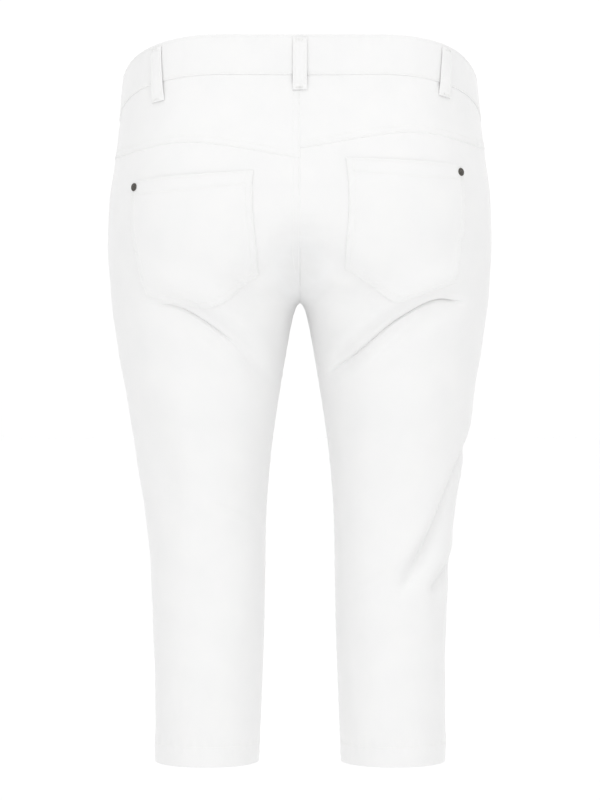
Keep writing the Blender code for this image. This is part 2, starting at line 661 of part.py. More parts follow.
def fly():
    """The stitched-down fly on the left front, straight down its length and curved in to the
    centre front at its foot."""
    turn, level = panel_grid(LEFT, FRONT)
    from_centre = (1 + turn) * reach(turn.ravel(), level.ravel()).reshape(turn.shape)
    top = band_seam_level(-1.0)[0] - SEAM_GAP
    foot = top - FLY_LENGTH
    corners = [(FLY_EDGE, top), (FLY_WIDTH, top)]
    for angle in np.linspace(0, math.pi / 2, FLY_CURVE_STEPS + 1)[:-1]:
        corners.append((FLY_WIDTH * math.cos(angle), foot + FLY_CURVE * (1 - math.sin(angle))))
    corners.append((FLY_EDGE, foot))
    return add_patch("fly", LEFT, turn, level, np.stack([from_centre, level], axis=2),
                     np.array(corners))


def belt_loop(loop):
    """A strip from just under the waist's edge to below the waistband, bowed out between."""
    down = np.linspace(0, 1, LOOP_ROWS + 1)[:, None]
    middle = loop.top_turn + (loop.foot_turn - loop.top_turn) * down
    half_width = LOOP_WIDTH / 2 / reach(loop.top_turn, 0.0)[0]
    turn = middle + np.linspace(-half_width, half_width, LOOP_COLUMNS + 1)
    folded = np.where(np.abs(turn) > 1, np.sign(turn) * (2 - np.abs(turn)), turn)
    top = waist_level(folded.ravel()).reshape(turn.shape) - LOOP_TOP_INSET
    level = top - (BAND_HEIGHT + loop.tail - LOOP_TOP_INSET) * down
    seat = BAND_PROUD + PATCH_GAP - BAND_PROUD * eased((down - LOOP_STEP) / LOOP_STEP_LENGTH)
    inner = seat + LOOP_ARCH * eased(down / LOOP_RISE) * eased((1 - down) / LOOP_FALL)
    return add_wall(loop.name, loop.side, turn, level, inner, inner + LOOP_CLOTH)


def rivet(place):
    """A small domed rivet on the outer top corner of a back pocket."""
    turn = place.across / reach(BACK, place.level)[0]
    return add_turned("rivet_" + SIDE_NAMES[place.side], RIVET_PROFILE, RIVET_RADIUS,
                      place.side, turn, place.level, PATCH_GAP + PATCH_CLOTH + RIVET_LIFT)


def waist_button():
    """The button on the waistband's front end, its cap on a short shank."""
    level = waist_level(FRONT)[0] - BAND_HEIGHT / 2
    return add_turned("button", BUTTON_PROFILE, BUTTON_RADIUS, LEFT, BUTTON_TURN, level,
                      BAND_PROUD + SEAM_GAP)


def build_trousers():
    for side in (LEFT, RIGHT):
        leg_panel(side, BACK)
        leg_panel(side, FRONT)
        yoke(side)
        waistband(side)
        back_pocket(side)
    for place in RIVETS:
        rivet(place)
    for loop in BELT_LOOPS:
        belt_loop(loop)
    fly()
    waist_button()


for old in list(bpy.data.objects):
    bpy.data.objects.remove(old)
build_trousers()
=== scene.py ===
"""Looks of the capri trousers: fine cloth on the worn form, sewing, metal, floor, light and camera.

A place on the cloth is named by side, turn and level. turn is -1 at the centre front or front
inseam, 0 at the side seam and 1 at the centre back or back inseam, in equal shares of the way
round. across is turn times the length of the half-section, so it is the distance round from the
side seam. Everything is in metres.
"""

import math
from collections import namedtuple
from functools import partial

import bpy
import numpy as np
from mathutils import Matrix, Vector


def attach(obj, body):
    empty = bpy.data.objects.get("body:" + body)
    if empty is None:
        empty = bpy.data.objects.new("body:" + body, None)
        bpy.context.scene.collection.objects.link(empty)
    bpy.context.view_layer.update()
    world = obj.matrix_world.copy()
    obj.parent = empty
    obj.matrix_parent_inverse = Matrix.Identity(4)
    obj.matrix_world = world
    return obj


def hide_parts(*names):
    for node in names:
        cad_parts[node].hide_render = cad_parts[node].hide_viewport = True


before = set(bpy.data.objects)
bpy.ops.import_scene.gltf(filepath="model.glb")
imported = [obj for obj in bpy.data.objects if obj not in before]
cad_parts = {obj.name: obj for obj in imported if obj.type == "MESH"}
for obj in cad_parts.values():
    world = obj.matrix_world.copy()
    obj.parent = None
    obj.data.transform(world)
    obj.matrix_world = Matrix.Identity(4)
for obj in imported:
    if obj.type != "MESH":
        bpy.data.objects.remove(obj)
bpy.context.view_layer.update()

MM = 0.001
LEFT, RIGHT = 1, -1
SIDE_NAMES = {LEFT: "left", RIGHT: "right"}
BACK, FRONT = 1, -1
FACE_NAMES = {BACK: "back", FRONT: "front"}

# ---- sizes shared with the solids

HEM_LEVEL = -0.7365
CROTCH_LEVEL = -0.241
CROTCH_Y = 0.005
WAIST_SLOPE = 0.30
SEAT_RISE, SEAT_BEND = 0.075, 2.3
FRONT_RISE, FRONT_BEND = 0.110, 1.60
SEAT_HOLLOW = 0.007
INSEAM_DRIFT = 0.20
ROUNDNESS = 2.12
SEAM_FADE = 0.040

BAND_HEIGHT = 43 * MM
BAND_PROUD = 0.7 * MM
BAND_LAP = 20 * MM
FLY_WIDTH, FLY_LENGTH, FLY_CURVE = 36 * MM, 135 * MM, 47 * MM
LOOP_WIDTH = 15 * MM
LOOP_TOP_INSET = 4 * MM
RIVET_RADIUS = 4.3 * MM
BUTTON_RADIUS = 8.5 * MM

# Half-sections of the worn form. The side seam is at outer_x, side_y, the fullest points are at
# front_x, front_y and back_x, back_y, and parting is how fast the legs part below the crotch.
Section = namedtuple("Section", "level outer_x parting front_y back_y side_y front_x back_x")
SECTIONS = [
    Section(-0.760, 0.1567, 0.0628, -0.0600, 0.0670, 0.004, 0.101, 0.101),
    Section(-0.661, 0.1573, 0.0636, -0.0610, 0.0710, 0.005, 0.099, 0.099),
    Section(-0.596, 0.1584, 0.0652, -0.0640, 0.0735, 0.005, 0.098, 0.098),
    Section(-0.530, 0.1611, 0.0700, -0.0690, 0.0760, 0.004, 0.099, 0.099),
    Section(-0.465, 0.1676, 0.0765, -0.0760, 0.0810, 0.003, 0.102, 0.102),
    Section(-0.400, 0.1785, 0.0776, -0.0850, 0.0900, 0.003, 0.105, 0.104),
    Section(-0.335, 0.1893, 0.0706, -0.0950, 0.1020, 0.004, 0.107, 0.105),
    Section(-0.286, 0.1975, 0.0630, -0.1020, 0.1120, 0.005, 0.106, 0.105),
    Section(-0.243, 0.2032, 0.0600, -0.1080, 0.1230, 0.005, 0.104, 0.105),
    Section(-0.216, 0.2056, 0.0600, -0.1120, 0.1320, 0.005, 0.101, 0.104),
    Section(-0.172, 0.2072, 0.0600, -0.1180, 0.1440, 0.005, 0.095, 0.100),
    Section(-0.129, 0.2050, 0.0600, -0.1225, 0.1480, 0.005, 0.088, 0.094),
    Section(-0.075, 0.1985, 0.0600, -0.1225, 0.1420, 0.004, 0.082, 0.086),
    Section(-0.020, 0.1930, 0.0600, -0.1185, 0.1300, -0.002, 0.078, 0.083),
    Section(0.020, 0.1890, 0.0600, -0.1150, 0.1225, -0.006, 0.076, 0.084),
    Section(0.060, 0.1868, 0.0600, -0.1120, 0.1185, -0.008, 0.076, 0.084),
]

YokePoint = namedtuple("YokePoint", "turn level")
YOKE_SEAM = [
    YokePoint(0.00, -0.0765),
    YokePoint(0.30, -0.0755),
    YokePoint(0.56, -0.0680),
    YokePoint(1.00, -0.0840),
]
YOKE_DROP = {LEFT: 0.0105, RIGHT: 0.0}

# Corners of the back pockets as (across, level).
Pocket = namedtuple("Pocket", "side outer_top outer_foot tip inner_foot inner_top")
POCKETS = [
    Pocket(LEFT, (0.1050, -0.1175), (0.1135, -0.2380), (0.1760, -0.2525), (0.2530, -0.2190),
           (0.2440, -0.1077)),
    Pocket(RIGHT, (0.1100, -0.1005), (0.1200, -0.2246), (0.1750, -0.2455), (0.2495, -0.2110),
           (0.2425, -0.0945)),
]

Rivet = namedtuple("Rivet", "side across level")
RIVETS = [Rivet(LEFT, 0.1112, -0.1232), Rivet(RIGHT, 0.1158, -0.1076)]

Loop = namedtuple("Loop", "name side top_turn foot_turn tail")
BELT_LOOPS = [
    Loop("belt_loop_back", LEFT, 1.0, 1.0, 0.0160),
    Loop("belt_loop_back_left", LEFT, 0.415, 0.450, 0.0215),
    Loop("belt_loop_back_right", RIGHT, 0.400, 0.433, 0.0150),
    Loop("belt_loop_front_left", LEFT, -0.500, -0.520, 0.0160),
    Loop("belt_loop_front_right", RIGHT, -0.500, -0.520, 0.0150),
]

# Folds as soft troughs. A path is (across, level) points. depth and width are the trough's, lip
# is the share of the depth by which the cloth above stands out, fade is the share of the path
# lost at each end, and line is how deep a narrow line along the trough's foot is.
Fold = namedtuple("Fold", "side depth width path lip fade line", defaults=(0.30, 0.40, 0.0))
FOLDS = [
    # under the seat, from below the pocket to the inner thigh
    Fold(LEFT, 0.0070, 0.013,
         [(0.090, -0.246), (0.143, -0.249), (0.183, -0.274), (0.225, -0.318), (0.252, -0.340)], 0.45, 0.35),
    Fold(RIGHT, 0.0095, 0.012,
         [(0.078, -0.246), (0.126, -0.242), (0.167, -0.2615), (0.210, -0.298), (0.255, -0.321)],
         0.40, 0.25),
    Fold(RIGHT, 0.0035, 0.011, [(0.120, -0.243), (0.147, -0.263), (0.178, -0.294)]),
    # where the seat turns under, across the centre back
    Fold(RIGHT, 0.0060, 0.016, [(0.232, -0.202), (0.292, -0.196), (0.348, -0.200)], 0.0),
    # the hollow between the seat's halves
    Fold(LEFT, 0.0080, 0.022,
         [(0.2955, -0.150), (0.2965, -0.180), (0.3000, -0.200), (0.3150, -0.240)], 0.0, 0.35),
    # drag lines that run up and out from the crotch, at the back and the front
    Fold(LEFT, 0.0080, 0.018, [(0.190, -0.243), (0.240, -0.228), (0.290, -0.207)], 0.10, 0.35),
    Fold(RIGHT, 0.0085, 0.018, [(0.176, -0.249), (0.233, -0.229), (0.286, -0.205)], 0.10, 0.35),
    Fold(LEFT, 0.0050, 0.016, [(-0.140, -0.160), (-0.195, -0.184), (-0.245, -0.208)]),
    Fold(RIGHT, 0.0055, 0.016, [(-0.130, -0.170), (-0.190, -0.192), (-0.245, -0.212)]),
    Fold(LEFT, 0.0045, 0.018, [(-0.120, -0.238), (-0.175, -0.250), (-0.225, -0.262)]),
    Fold(RIGHT, 0.0050, 0.018, [(-0.115, -0.250), (-0.170, -0.262), (-0.220, -0.272)]),
    # slack about the knees
    Fold(RIGHT, 0.0065, 0.013,
         [(-0.036, -0.374), (0.026, -0.412), (0.057, -0.480), (0.077, -0.518), (0.103, -0.563)],
         0.30, 0.26, 0.0080),
    Fold(RIGHT, 0.0050, 0.013, [(-0.008, -0.510), (0.022, -0.531), (0.064, -0.556)], 0.50, 0.25, 0.0050),
    Fold(LEFT, 0.0045, 0.026, [(0.060, -0.330), (0.078, -0.400), (0.070, -0.480)], 0.20, 0.35),
    Fold(LEFT, 0.0045, 0.018, [(-0.045, -0.440), (-0.105, -0.470), (-0.160, -0.462)], 0.40, 0.35, 0.0008),
    Fold(RIGHT, 0.0045, 0.018,
         [(-0.065, -0.470), (-0.115, -0.492), (-0.165, -0.480)], 0.40, 0.35, 0.0008),
]

# ---- sizes of the fine work

# Smaller folds, too shallow for the solids.
FINE_FOLDS = [
    Fold(RIGHT, 0.0016, 0.006, [(0.135, -0.262), (0.160, -0.283), (0.187, -0.311)], 0.50),
    Fold(LEFT, 0.0012, 0.006, [(0.150, -0.268), (0.176, -0.288), (0.203, -0.319)], 0.50),
    Fold(LEFT, 0.0015, 0.008, [(0.218, -0.254), (0.252, -0.243), (0.292, -0.229)]),
    Fold(RIGHT, 0.0015, 0.008, [(0.214, -0.252), (0.250, -0.240), (0.290, -0.226)]),
    Fold(LEFT, 0.0014, 0.009, [(0.262, -0.186), (0.296, -0.175), (0.340, -0.170)]),
    Fold(LEFT, 0.0012, 0.007, [(0.120, -0.452), (0.150, -0.470), (0.182, -0.473)], 0.40),
    Fold(RIGHT, 0.0012, 0.007, [(0.105, -0.520), (0.140, -0.543), (0.172, -0.548)], 0.40),
    Fold(RIGHT, 0.0012, 0.008, [(0.022, -0.592), (0.050, -0.606), (0.085, -0.605)], 0.40),
    Fold(LEFT, 0.0014, 0.008, [(0.010, -0.560), (0.034, -0.578), (0.070, -0.583)]),
    Fold(LEFT, 0.0013, 0.008, [(-0.020, -0.512), (-0.065, -0.531), (-0.115, -0.533)], 0.40),
    Fold(RIGHT, 0.0013, 0.008, [(-0.030, -0.535), (-0.080, -0.552), (-0.130, -0.547)], 0.40),
    Fold(LEFT, 0.0012, 0.007, [(-0.070, -0.405), (-0.115, -0.424), (-0.165, -0.426)]),
    Fold(RIGHT, 0.0012, 0.007, [(-0.075, -0.425), (-0.120, -0.442), (-0.170, -0.440)]),
    Fold(LEFT, 0.0018, 0.009, [(-0.165, -0.126), (-0.205, -0.146), (-0.252, -0.171)]),
    Fold(RIGHT, 0.0018, 0.009, [(-0.160, -0.134), (-0.205, -0.154), (-0.255, -0.180)]),
    Fold(LEFT, 0.0014, 0.008, [(-0.165, -0.292), (-0.205, -0.306), (-0.240, -0.331)]),
    Fold(RIGHT, 0.0014, 0.008, [(-0.160, -0.302), (-0.200, -0.318), (-0.238, -0.345)]),
]

# A sharp crease along part of a fold: a groove with a lip of cloth drawn down over it. start and
# end are shares of the fold's path, and taper is how much shallower its end is than its start.
Crease = namedtuple("Crease", "fold depth tuck start end taper")
CREASES = [
    Crease(FOLDS[0], 0.0028, 0.0024, 0.10, 0.66, 0.0),
    Crease(FOLDS[1], 0.0033, 0.0026, 0.045, 0.99, 0.9),
]
CREASE_FADE = 0.14
GROOVE_ABOVE, GROOVE_BELOW = 3.0 * MM, 2.6 * MM
TUCK_PLACE, TUCK_SPREAD = 3.0 * MM, 2.2 * MM
LINING_SPREAD, LINING_DEPTH = 7 * MM, 0.6 * MM  # how the inner face keeps clear of a groove

# Slow unevenness of the cloth: waves of a height and length, heading so many degrees off level.
Ripple = namedtuple("Ripple", "height length heading phase")
RIPPLES = [
    Ripple(0.00045, 0.143, 24, 0.4),
    Ripple(0.00035, 0.091, -38, 2.1),
    Ripple(0.00022, 0.057, 71, 4.4),
    Ripple(0.00012, 0.034, -12, 5.2),
]
PUCKERS = [Ripple(0.00016, 0.0113, 0, 0.0), Ripple(0.00012, 0.0187, 0, 1.3)]
PUCKER_REACH = 7 * MM
RIPPLE_SHIFT = 0.1  # outwards on each half, so that the halves differ

LIP_OFFSET, LIP_WIDTH, FOLD_REACH = 1.9, 1.3, 5.0  # in widths of the fold
LINE_ABOVE, LINE_BELOW = 9.0 * MM, 5.0 * MM

# Where the form's edge that runs out from the crotch is made soft: (spread, distance from it).
SOFTENINGS = [(2 * MM, 8 * MM), (6 * MM, 40 * MM)]
# Where cloth spans the cleft above the crotch, and how much of the cleft's depth that fills.
BRIDGE_TOP, BRIDGE_EASE, BRIDGE_RISE = -0.195, 20 * MM, 5 * MM
BRIDGE_REACH, BRIDGE_SHARE = 22 * MM, 0.5

CLOTH = 1.0 * MM
HEM_CLOTH = 1.9 * MM
HEM_DEPTH = 24 * MM
HEM_EASE = 3 * MM
BAND_CLOTH = 2.0 * MM
POCKET_CLOTH = 1.1 * MM
FLY_CLOTH = 0.9 * MM
LOOP_CLOTH = 1.3 * MM
LOOP_ARCH, LOOP_RISE, LOOP_FALL = 0.9 * MM, 0.22, 0.30
LOOP_STEP, LOOP_STEP_LENGTH = 0.80, 0.16
LOOP_SEAT, LOOP_CROWN = 0.5 * MM, 0.25 * MM
LOOP_TURNED, LOOP_TURNING, LOOP_TURNING_EASE = 0.45 * MM, 5 * MM, 1.5 * MM

SEAM_VALLEY, SEAM_WIDTH = 0.25 * MM, 1.8 * MM
SEAM_ROLL, SEAM_ROUND = 0.5 * MM, 0.9 * MM
CENTRE_SEAM, LAPPED_SEAM = 0.45, 0.40  # depths of these seams, in shares of a side seam's
EDGE_ROUND = 0.7 * MM
EDGE_SHARE = 0.48  # of its thickness that a wall loses from each face at a folded edge
# Distances from a piece's border at which its mesh has extra lines, where it is sewn to its
# neighbour and where it ends in a folded edge. A sewn border runs a little past its seam.
SEWN = np.array([-0.4, 0.0, 0.07, 0.2, 0.45, 0.9, 1.7, 3.0, 5.0, 8.0]) * MM
FOLDED = np.array([0.0, 0.08, 0.22, 0.42, 0.7, 1.1, 1.7, 2.4]) * MM

HEM_STITCH = 21.5 * MM
HEM_PUCKERS, POCKET_PUCKERS = 1.4, 1.3  # against those of a seam
INNER_PUCKERS = 0.3  # how far along the puckers of an inner seam lie from a side seam's
YOKE_LAP, YOKE_LAP_WIDTH = 0.5 * MM, 8 * MM
YOKE_MIDDLE = -0.05
BAND_SWELL = 0.5 * MM
BAND_PUCKER_SHIFT = 2 * MM
BAND_LIFT, BAND_TUCK = 0.9 * MM, 1.3 * MM  # where the halves lap, one over and one under
BAND_STITCHES = (2.2 * MM, BAND_HEIGHT - 2.6 * MM)
BAND_ROW_END = 0.997
TIP_SOFTNESS = 3.0 * MM
POCKET_LIFT, POCKET_GAPE = 0.05 * MM, 0.9 * MM
# Depth of the cloth that is turned in, how far it raises the pocket, and how soon.
POCKET_HEM, POCKET_HEM_RISE, POCKET_HEM_EASE = 16 * MM, 0.40 * MM, 2 * MM
POCKET_TURNING, POCKET_TURNING_RISE, POCKET_TURNING_EASE = 10.5 * MM, 0.45 * MM, 3 * MM
POCKET_HEM_STITCHES = (2.0 * MM, 14.0 * MM)
POCKET_ROW_INSET = 0.012
POCKET_SIDE_POINTS, POCKET_FOOT_POINTS = 150, 220  # along the rows round a pocket
FLY_LIFT, FLY_BACKING = 0.2 * MM, 0.3 * MM
FLY_OVERLAP, FLY_FEATHER = 2.5 * MM, 5 * MM
FLY_STITCHES = (3.0 * MM, 8.5 * MM)
# How far the fly runs up under the waistband, how far it stops short of its pointed foot, how
# far inside both its rows end, and how close they come to the centre.
FLY_TUCK, FLY_CUT = 1 * MM, 1 * MM
FLY_ROW_INSET, FLY_ROW_CLEARANCE = 2 * MM, 0.8 * MM
LOOP_STITCH = 2.3 * MM
TACK_INSET, TACK_ROWS, TACK_STEP = 1.3 * MM, 4, 0.65 * MM
STITCH_PITCH, STITCH_LENGTH = 3.0 * MM, 2.45 * MM
THREAD_RADIUS, THREAD_LIFT = 0.27 * MM, 0.14 * MM
STITCH_SINK, STITCH_SPREAD = 0.12 * MM, 1.1 * MM  # the channel that a row pulls into the cloth
TOPSTITCH = (1.5 * MM, 7.0 * MM)  # the two rows' distances from their seam or edge
FRONT_STITCH_TOP = 4 * MM  # above the fly's foot
STITCH_FOOT = CROTCH_LEVEL + 22 * MM  # where the centre seams' rows end
# Steps of the meshes away from the borders.
COLUMN_STEP = {BACK: 2.8 * MM, FRONT: 3.2 * MM}
YOKE_STEP, BAND_STEP, BAND_ROW_STEP = 2.4 * MM, 2.8 * MM, 2.0 * MM
POCKET_STEP, LOOP_MESH_STEP = 1.8 * MM, 1.2 * MM

RIVET_LIFT, BUTTON_LIFT = POCKET_CLOTH + 0.6 * MM, BAND_PROUD + 1.6 * MM
BUTTON_TURN = -0.999

# The twill's sets of ribs: how many in a metre across and up the cloth, and their height.
Ribs = namedtuple("Ribs", "across level height")
RIBS = [Ribs(760.0, 560.0, 0.5), Ribs(1400.0, -1900.0, 0.18)]
NAP_HEIGHT = 0.9
RIBBING = 0.16  # how much the ribs and nap show in the tone
TWILL_WHITE, TWILL_GREY = (0.890, 0.888, 0.884), (0.845, 0.847, 0.848)
# Painted shade under the seat, where the four seams meet: the cloth's colour greyed where shade falls, and
# its share of the range of tones.
PAINTED_SHADE_TONE, PAINTED_SHADE_SHARE = (0.750, 0.749, 0.746), 0.6
PAINTED_SHADE_LEVEL, PAINTED_SHADE_WIDTH, PAINTED_SHADE_HEIGHT = -0.207, 44 * MM, 42 * MM

CAMERA_DISTANCE = 3.2
CAMERA_LEVEL = -0.346
FRAME_HEIGHT = 0.868  # seen by the camera at the garment

FLOOR_LEVEL, FLOOR_RADIUS, FLOOR_SIDES = -0.90, 40.0, 64
DAYLIGHT, DAYLIGHT_OVERHEAD, DAYLIGHT_DIMMING = 1.015, 0.40, 0.68
Softbox = namedtuple("Softbox", "name place size power")
SOFTBOXES = [
    Softbox("key_left", (1.8, 2.6, 0.8), 1.4, 4.8),
    Softbox("key_right", (-1.8, 2.6, 0.8), 1.4, 4.8),
    Softbox("front_fill", (-1.2, -3.2, 0.8), 2.2, 4.0),
]


# ---- the worn form


def through_rows(rows, key, column, at):
    """One column of a table of rows, at the given key values, on a smooth curve through the rows."""
    keys = np.array([getattr(row, key) for row in rows])
    values = np.array([getattr(row, column) for row in rows])
    slopes = np.gradient(values, keys)
    at = np.clip(at, keys[0], keys[-1])
    upper = np.clip(np.searchsorted(keys, at), 1, len(keys) - 1)
    lower = upper - 1
    span = keys[upper] - keys[lower]
    share = (at - keys[lower]) / span
    return (
        values[lower] * (1 + 2 * share) * (1 - share) ** 2
        + values[upper] * share**2 * (3 - 2 * share)
        + slopes[lower] * span * share * (1 - share) ** 2
        - slopes[upper] * span * share**2 * (1 - share)
    )


def eased(share):
    share = np.clip(share, 0.0, 1.0)
    return share**2 * (3 - 2 * share)


def peak(distance, width):
    """1 at no distance, falling to 0 over a few widths."""
    return np.exp(-((distance / width) ** 2))


def swept(share, bend):
    """0 to 1 along a curve that starts level and ends upright."""
    return (1 - (1 - np.clip(share, 0.0, 1.0)) ** bend) ** (1 / bend)


def outline(back, level, step):
    """x and y on one half-section. step is 0 at the side seam, 1 at the fullest point of the
    front or back, and 2 at the inner edge: the inseam, or above the crotch the centre seam."""

    def column(name):
        return through_rows(SECTIONS, "level", name, level)

    face = "back" if back else "front"
    rise, bend = (SEAT_RISE, SEAT_BEND) if back else (FRONT_RISE, FRONT_BEND)
    hollow = SEAT_HOLLOW if back else 0.0
    outer_x, side_y = column("outer_x"), column("side_y")
    full_x, full_y = column(face + "_x"), column(face + "_y")
    inner_x = column("parting") * np.sqrt(np.maximum(CROTCH_LEVEL - level, 0.0))

    above = (level - CROTCH_LEVEL) / rise
    seam_y = full_y - hollow * eased(2 - above / 2)
    below_y = CROTCH_Y + (side_y - CROTCH_Y) * eased((CROTCH_LEVEL - level) / INSEAM_DRIFT)
    inner_y = np.where(above > 0, CROTCH_Y + (seam_y - CROTCH_Y) * swept(above, bend), below_y)

    power = 2 / ROUNDNESS
    outer_angle = np.clip(step, 0, 1) * math.pi / 2
    outer_part_x = full_x + (outer_x - full_x) * np.clip(np.cos(outer_angle), 0, 1) ** power
    outer_part_y = side_y + (full_y - side_y) * np.clip(np.sin(outer_angle), 0, 1) ** power

    along = np.clip(step - 1, 0, 1)
    inner_angle = along * math.pi / 2
    leg_x = full_x + (inner_x - full_x) * np.clip(np.sin(inner_angle), 0, 1) ** power
    leg_y = inner_y + (full_y - inner_y) * np.clip(np.cos(inner_angle), 0, 1) ** power
    body_x = full_x * (1 - along)
    body_y = full_y + (inner_y - full_y) * eased(along)
    mix = eased(above)
    on_outer = step <= 1
    return (
        np.where(on_outer, outer_part_x, leg_x + (body_x - leg_x) * mix),
        np.where(on_outer, outer_part_y, leg_y + (body_y - leg_y) * mix),
    )


LEVEL_STEP = 1 * MM
FORM_LEVELS = np.arange(-0.745, 0.046, LEVEL_STEP)
FORM_TURNS = np.linspace(-1, 1, 401)
OUTLINE_STEPS = 120
REACH_SPREAD, INNER_START = 28 * MM, 0.55  # how half_form evens the sections' lengths
WAIST_ROUNDS = 4
CENTRE_EASE = 15 * MM  # from the centre plane, where folds stop moving the cloth sideways


def averaged(values, spread):
    """A table with a row for each of the form's levels, averaged up and down over a spread."""
    weights = peak(FORM_LEVELS[:, None] - FORM_LEVELS, spread * math.sqrt(2))
    return np.tensordot(weights / weights.sum(axis=1)[:, None], values, axes=1)


def half_form(back):
    """The left half's smooth front or back at the form's levels, from the side seam inwards:
    points, and the even length of each half-section. The true length jumps at the crotch, and
    the inner part of the section takes up the difference."""
    steps = np.linspace(0, 2, OUTLINE_STEPS + 1)
    x, y = outline(back, FORM_LEVELS[:, None], steps)
    pieces = np.hypot(np.diff(x, axis=1), np.diff(y, axis=1))
    lengths = np.concatenate([np.zeros((len(x), 1)), np.cumsum(pieces, axis=1)], axis=1)
    evened = averaged(lengths[:, -1], REACH_SPREAD)
    turns = FORM_TURNS[FORM_TURNS >= 0]
    inner = eased((turns - INNER_START) / (1 - INNER_START))
    rows = []
    for row_x, row_y, row_lengths, length, level in zip(x, y, lengths, evened, FORM_LEVELS):
        wanted = turns * length + (row_lengths[-1] - length) * inner
        rows.append(np.stack([
            np.interp(wanted, row_lengths, row_x),
            np.interp(wanted, row_lengths, row_y),
            np.full(len(turns), level),
        ], axis=1))
    return np.array(rows), evened


def form_normals(points):
    """Outward normals of the form, with the cloth over its centre seams and inseams unbroken."""
    above = (FORM_LEVELS > CROTCH_LEVEL)[:, None]
    mirror = np.array([-1.0, 1.0, 1.0])
    before = np.where(above, points[:, 1] * mirror, points[:, -2])
    after = np.where(above, points[:, -2] * mirror, points[:, 1])
    padded = np.concatenate([before[:, None], points, after[:, None]], axis=1)
    by_turn = padded[:, 2:] - padded[:, :-2]
    normals = np.cross(by_turn, np.gradient(points, axis=0))
    return normals / np.linalg.norm(normals, axis=2)[..., None]


def softened(points, lengths):
    """The form with the edge that runs out from the crotch made soft, away from the crotch."""
    from_inner = (1 - np.abs(FORM_TURNS)) * lengths
    for spread, distance in SOFTENINGS:
        share = eased(from_inner / distance)[..., None] * [1, 1, 0]
        points = points + (averaged(points, spread) - points) * share
    return points


def bridged(points, lengths):
    """The form with the cleft above the crotch made shallow, front and back, by cloth that
    spans it from one thigh to the other."""
    points = points.copy()
    from_seam = (1 - np.abs(FORM_TURNS)) * lengths
    below = eased((BRIDGE_TOP - FORM_LEVELS) / BRIDGE_EASE)
    share = below * eased((FORM_LEVELS - CROTCH_LEVEL) / BRIDGE_RISE) * BRIDGE_SHARE
    side_seam = len(FORM_TURNS) // 2
    for row, row_distances, part in zip(points, from_seam, share):
        for half in (slice(0, side_seam), slice(None, side_seam, -1)):
            y, distances = row[half, 1], row_distances[half]
            bank = np.interp(BRIDGE_REACH, distances, y)
            y += (bank - y) * part * eased(1 - distances / BRIDGE_REACH)
    return points


BACK_POINTS, BACK_REACH = half_form(True)
FRONT_POINTS, FRONT_REACH = half_form(False)
REACHES = np.where(FORM_TURNS < 0, FRONT_REACH[:, None], BACK_REACH[:, None])
FORM_POINTS = np.concatenate([FRONT_POINTS[:, :0:-1], BACK_POINTS], axis=1)
FORM_POINTS = bridged(softened(FORM_POINTS, REACHES), REACHES)
FORM_NORMALS = form_normals(FORM_POINTS)


def sampled(table, turn, level):
    """The table's values between its rows and columns."""
    row = np.clip((level - FORM_LEVELS[0]) / LEVEL_STEP, 0, len(FORM_LEVELS) - 1.001)
    column = np.clip((turn + 1) / 2 * (len(FORM_TURNS) - 1), 0, len(FORM_TURNS) - 1.001)
    r, c = row.astype(int), column.astype(int)
    down, right = (row - r)[..., None], (column - c)[..., None]
    lower = table[r, c] * (1 - right) + table[r, c + 1] * right
    upper = table[r + 1, c] * (1 - right) + table[r + 1, c + 1] * right
    return lower * (1 - down) + upper * down


def reach(turn, level):
    """Length of the half-section, from the side seam to the inner edge."""
    back = np.interp(level, FORM_LEVELS, BACK_REACH)
    front = np.interp(level, FORM_LEVELS, FRONT_REACH)
    return np.where(np.asarray(turn) >= 0, back, front)


def past_the_edge(side, turn, level):
    """The same places, with those past an inner edge named from where they lie: on the other
    panel of the leg below the crotch, and on the other half of the garment above it."""
    crossed, above = np.abs(turn) > 1, level > CROTCH_LEVEL
    rest = np.sign(turn) * (2 - np.abs(turn))
    side = np.where(crossed & above, -side, side)
    return side, np.where(crossed, np.where(above, rest, -rest), turn)


# ---- folds


def smooth_path(points, count=100):
    """count points on a Catmull-Rom curve through the given (across, level) points."""
    points = np.array(points, float)
    rows = np.vstack([2 * points[0] - points[1], points, 2 * points[-1] - points[-2]])
    at = np.linspace(0, len(points) - 1, count)
    first = np.minimum(at.astype(int), len(points) - 2)
    s = (at - first)[:, None]
    a, b, c, d = (rows[first + k] for k in range(4))
    return 0.5 * (2 * b + (c - a) * s + (2 * a - 5 * b + 4 * c - d) * s**2
                  + (3 * b - a - 3 * c + d) * s**3)


def path_shares(path):
    """How far along a path each of its points is, and the path's length."""
    steps = np.linalg.norm(np.diff(path, axis=0), axis=1)
    return np.concatenate([[0], np.cumsum(steps)]) / steps.sum(), steps.sum()


def beside(path, margin, across, level):
    """Which places lie within a margin of a path. For those: how far along it they are, as a
    share, how far above it, and which way above is, as (across, level)."""
    low, high = path.min(axis=0) - margin, path.max(axis=0) + margin
    near = (across > low[0]) & (across < high[0]) & (level > low[1]) & (level < high[1])
    shares, length = path_shares(path)
    heading = np.gradient(path, axis=0)
    heading /= np.linalg.norm(heading, axis=1)[:, None]
    upward = np.stack([-heading[:, 1], heading[:, 0]], axis=1) * np.sign(path[-1, 0] - path[0, 0])
    places = np.stack([across[near], level[near]], axis=1)
    nearest = np.argmin(((places[:, None] - path) ** 2).sum(axis=2), axis=1)
    from_path, upward = places - path[nearest], upward[nearest]
    along = shares[nearest] + (from_path * heading[nearest]).sum(axis=1) / length
    return near, along, (from_path * upward).sum(axis=1), upward


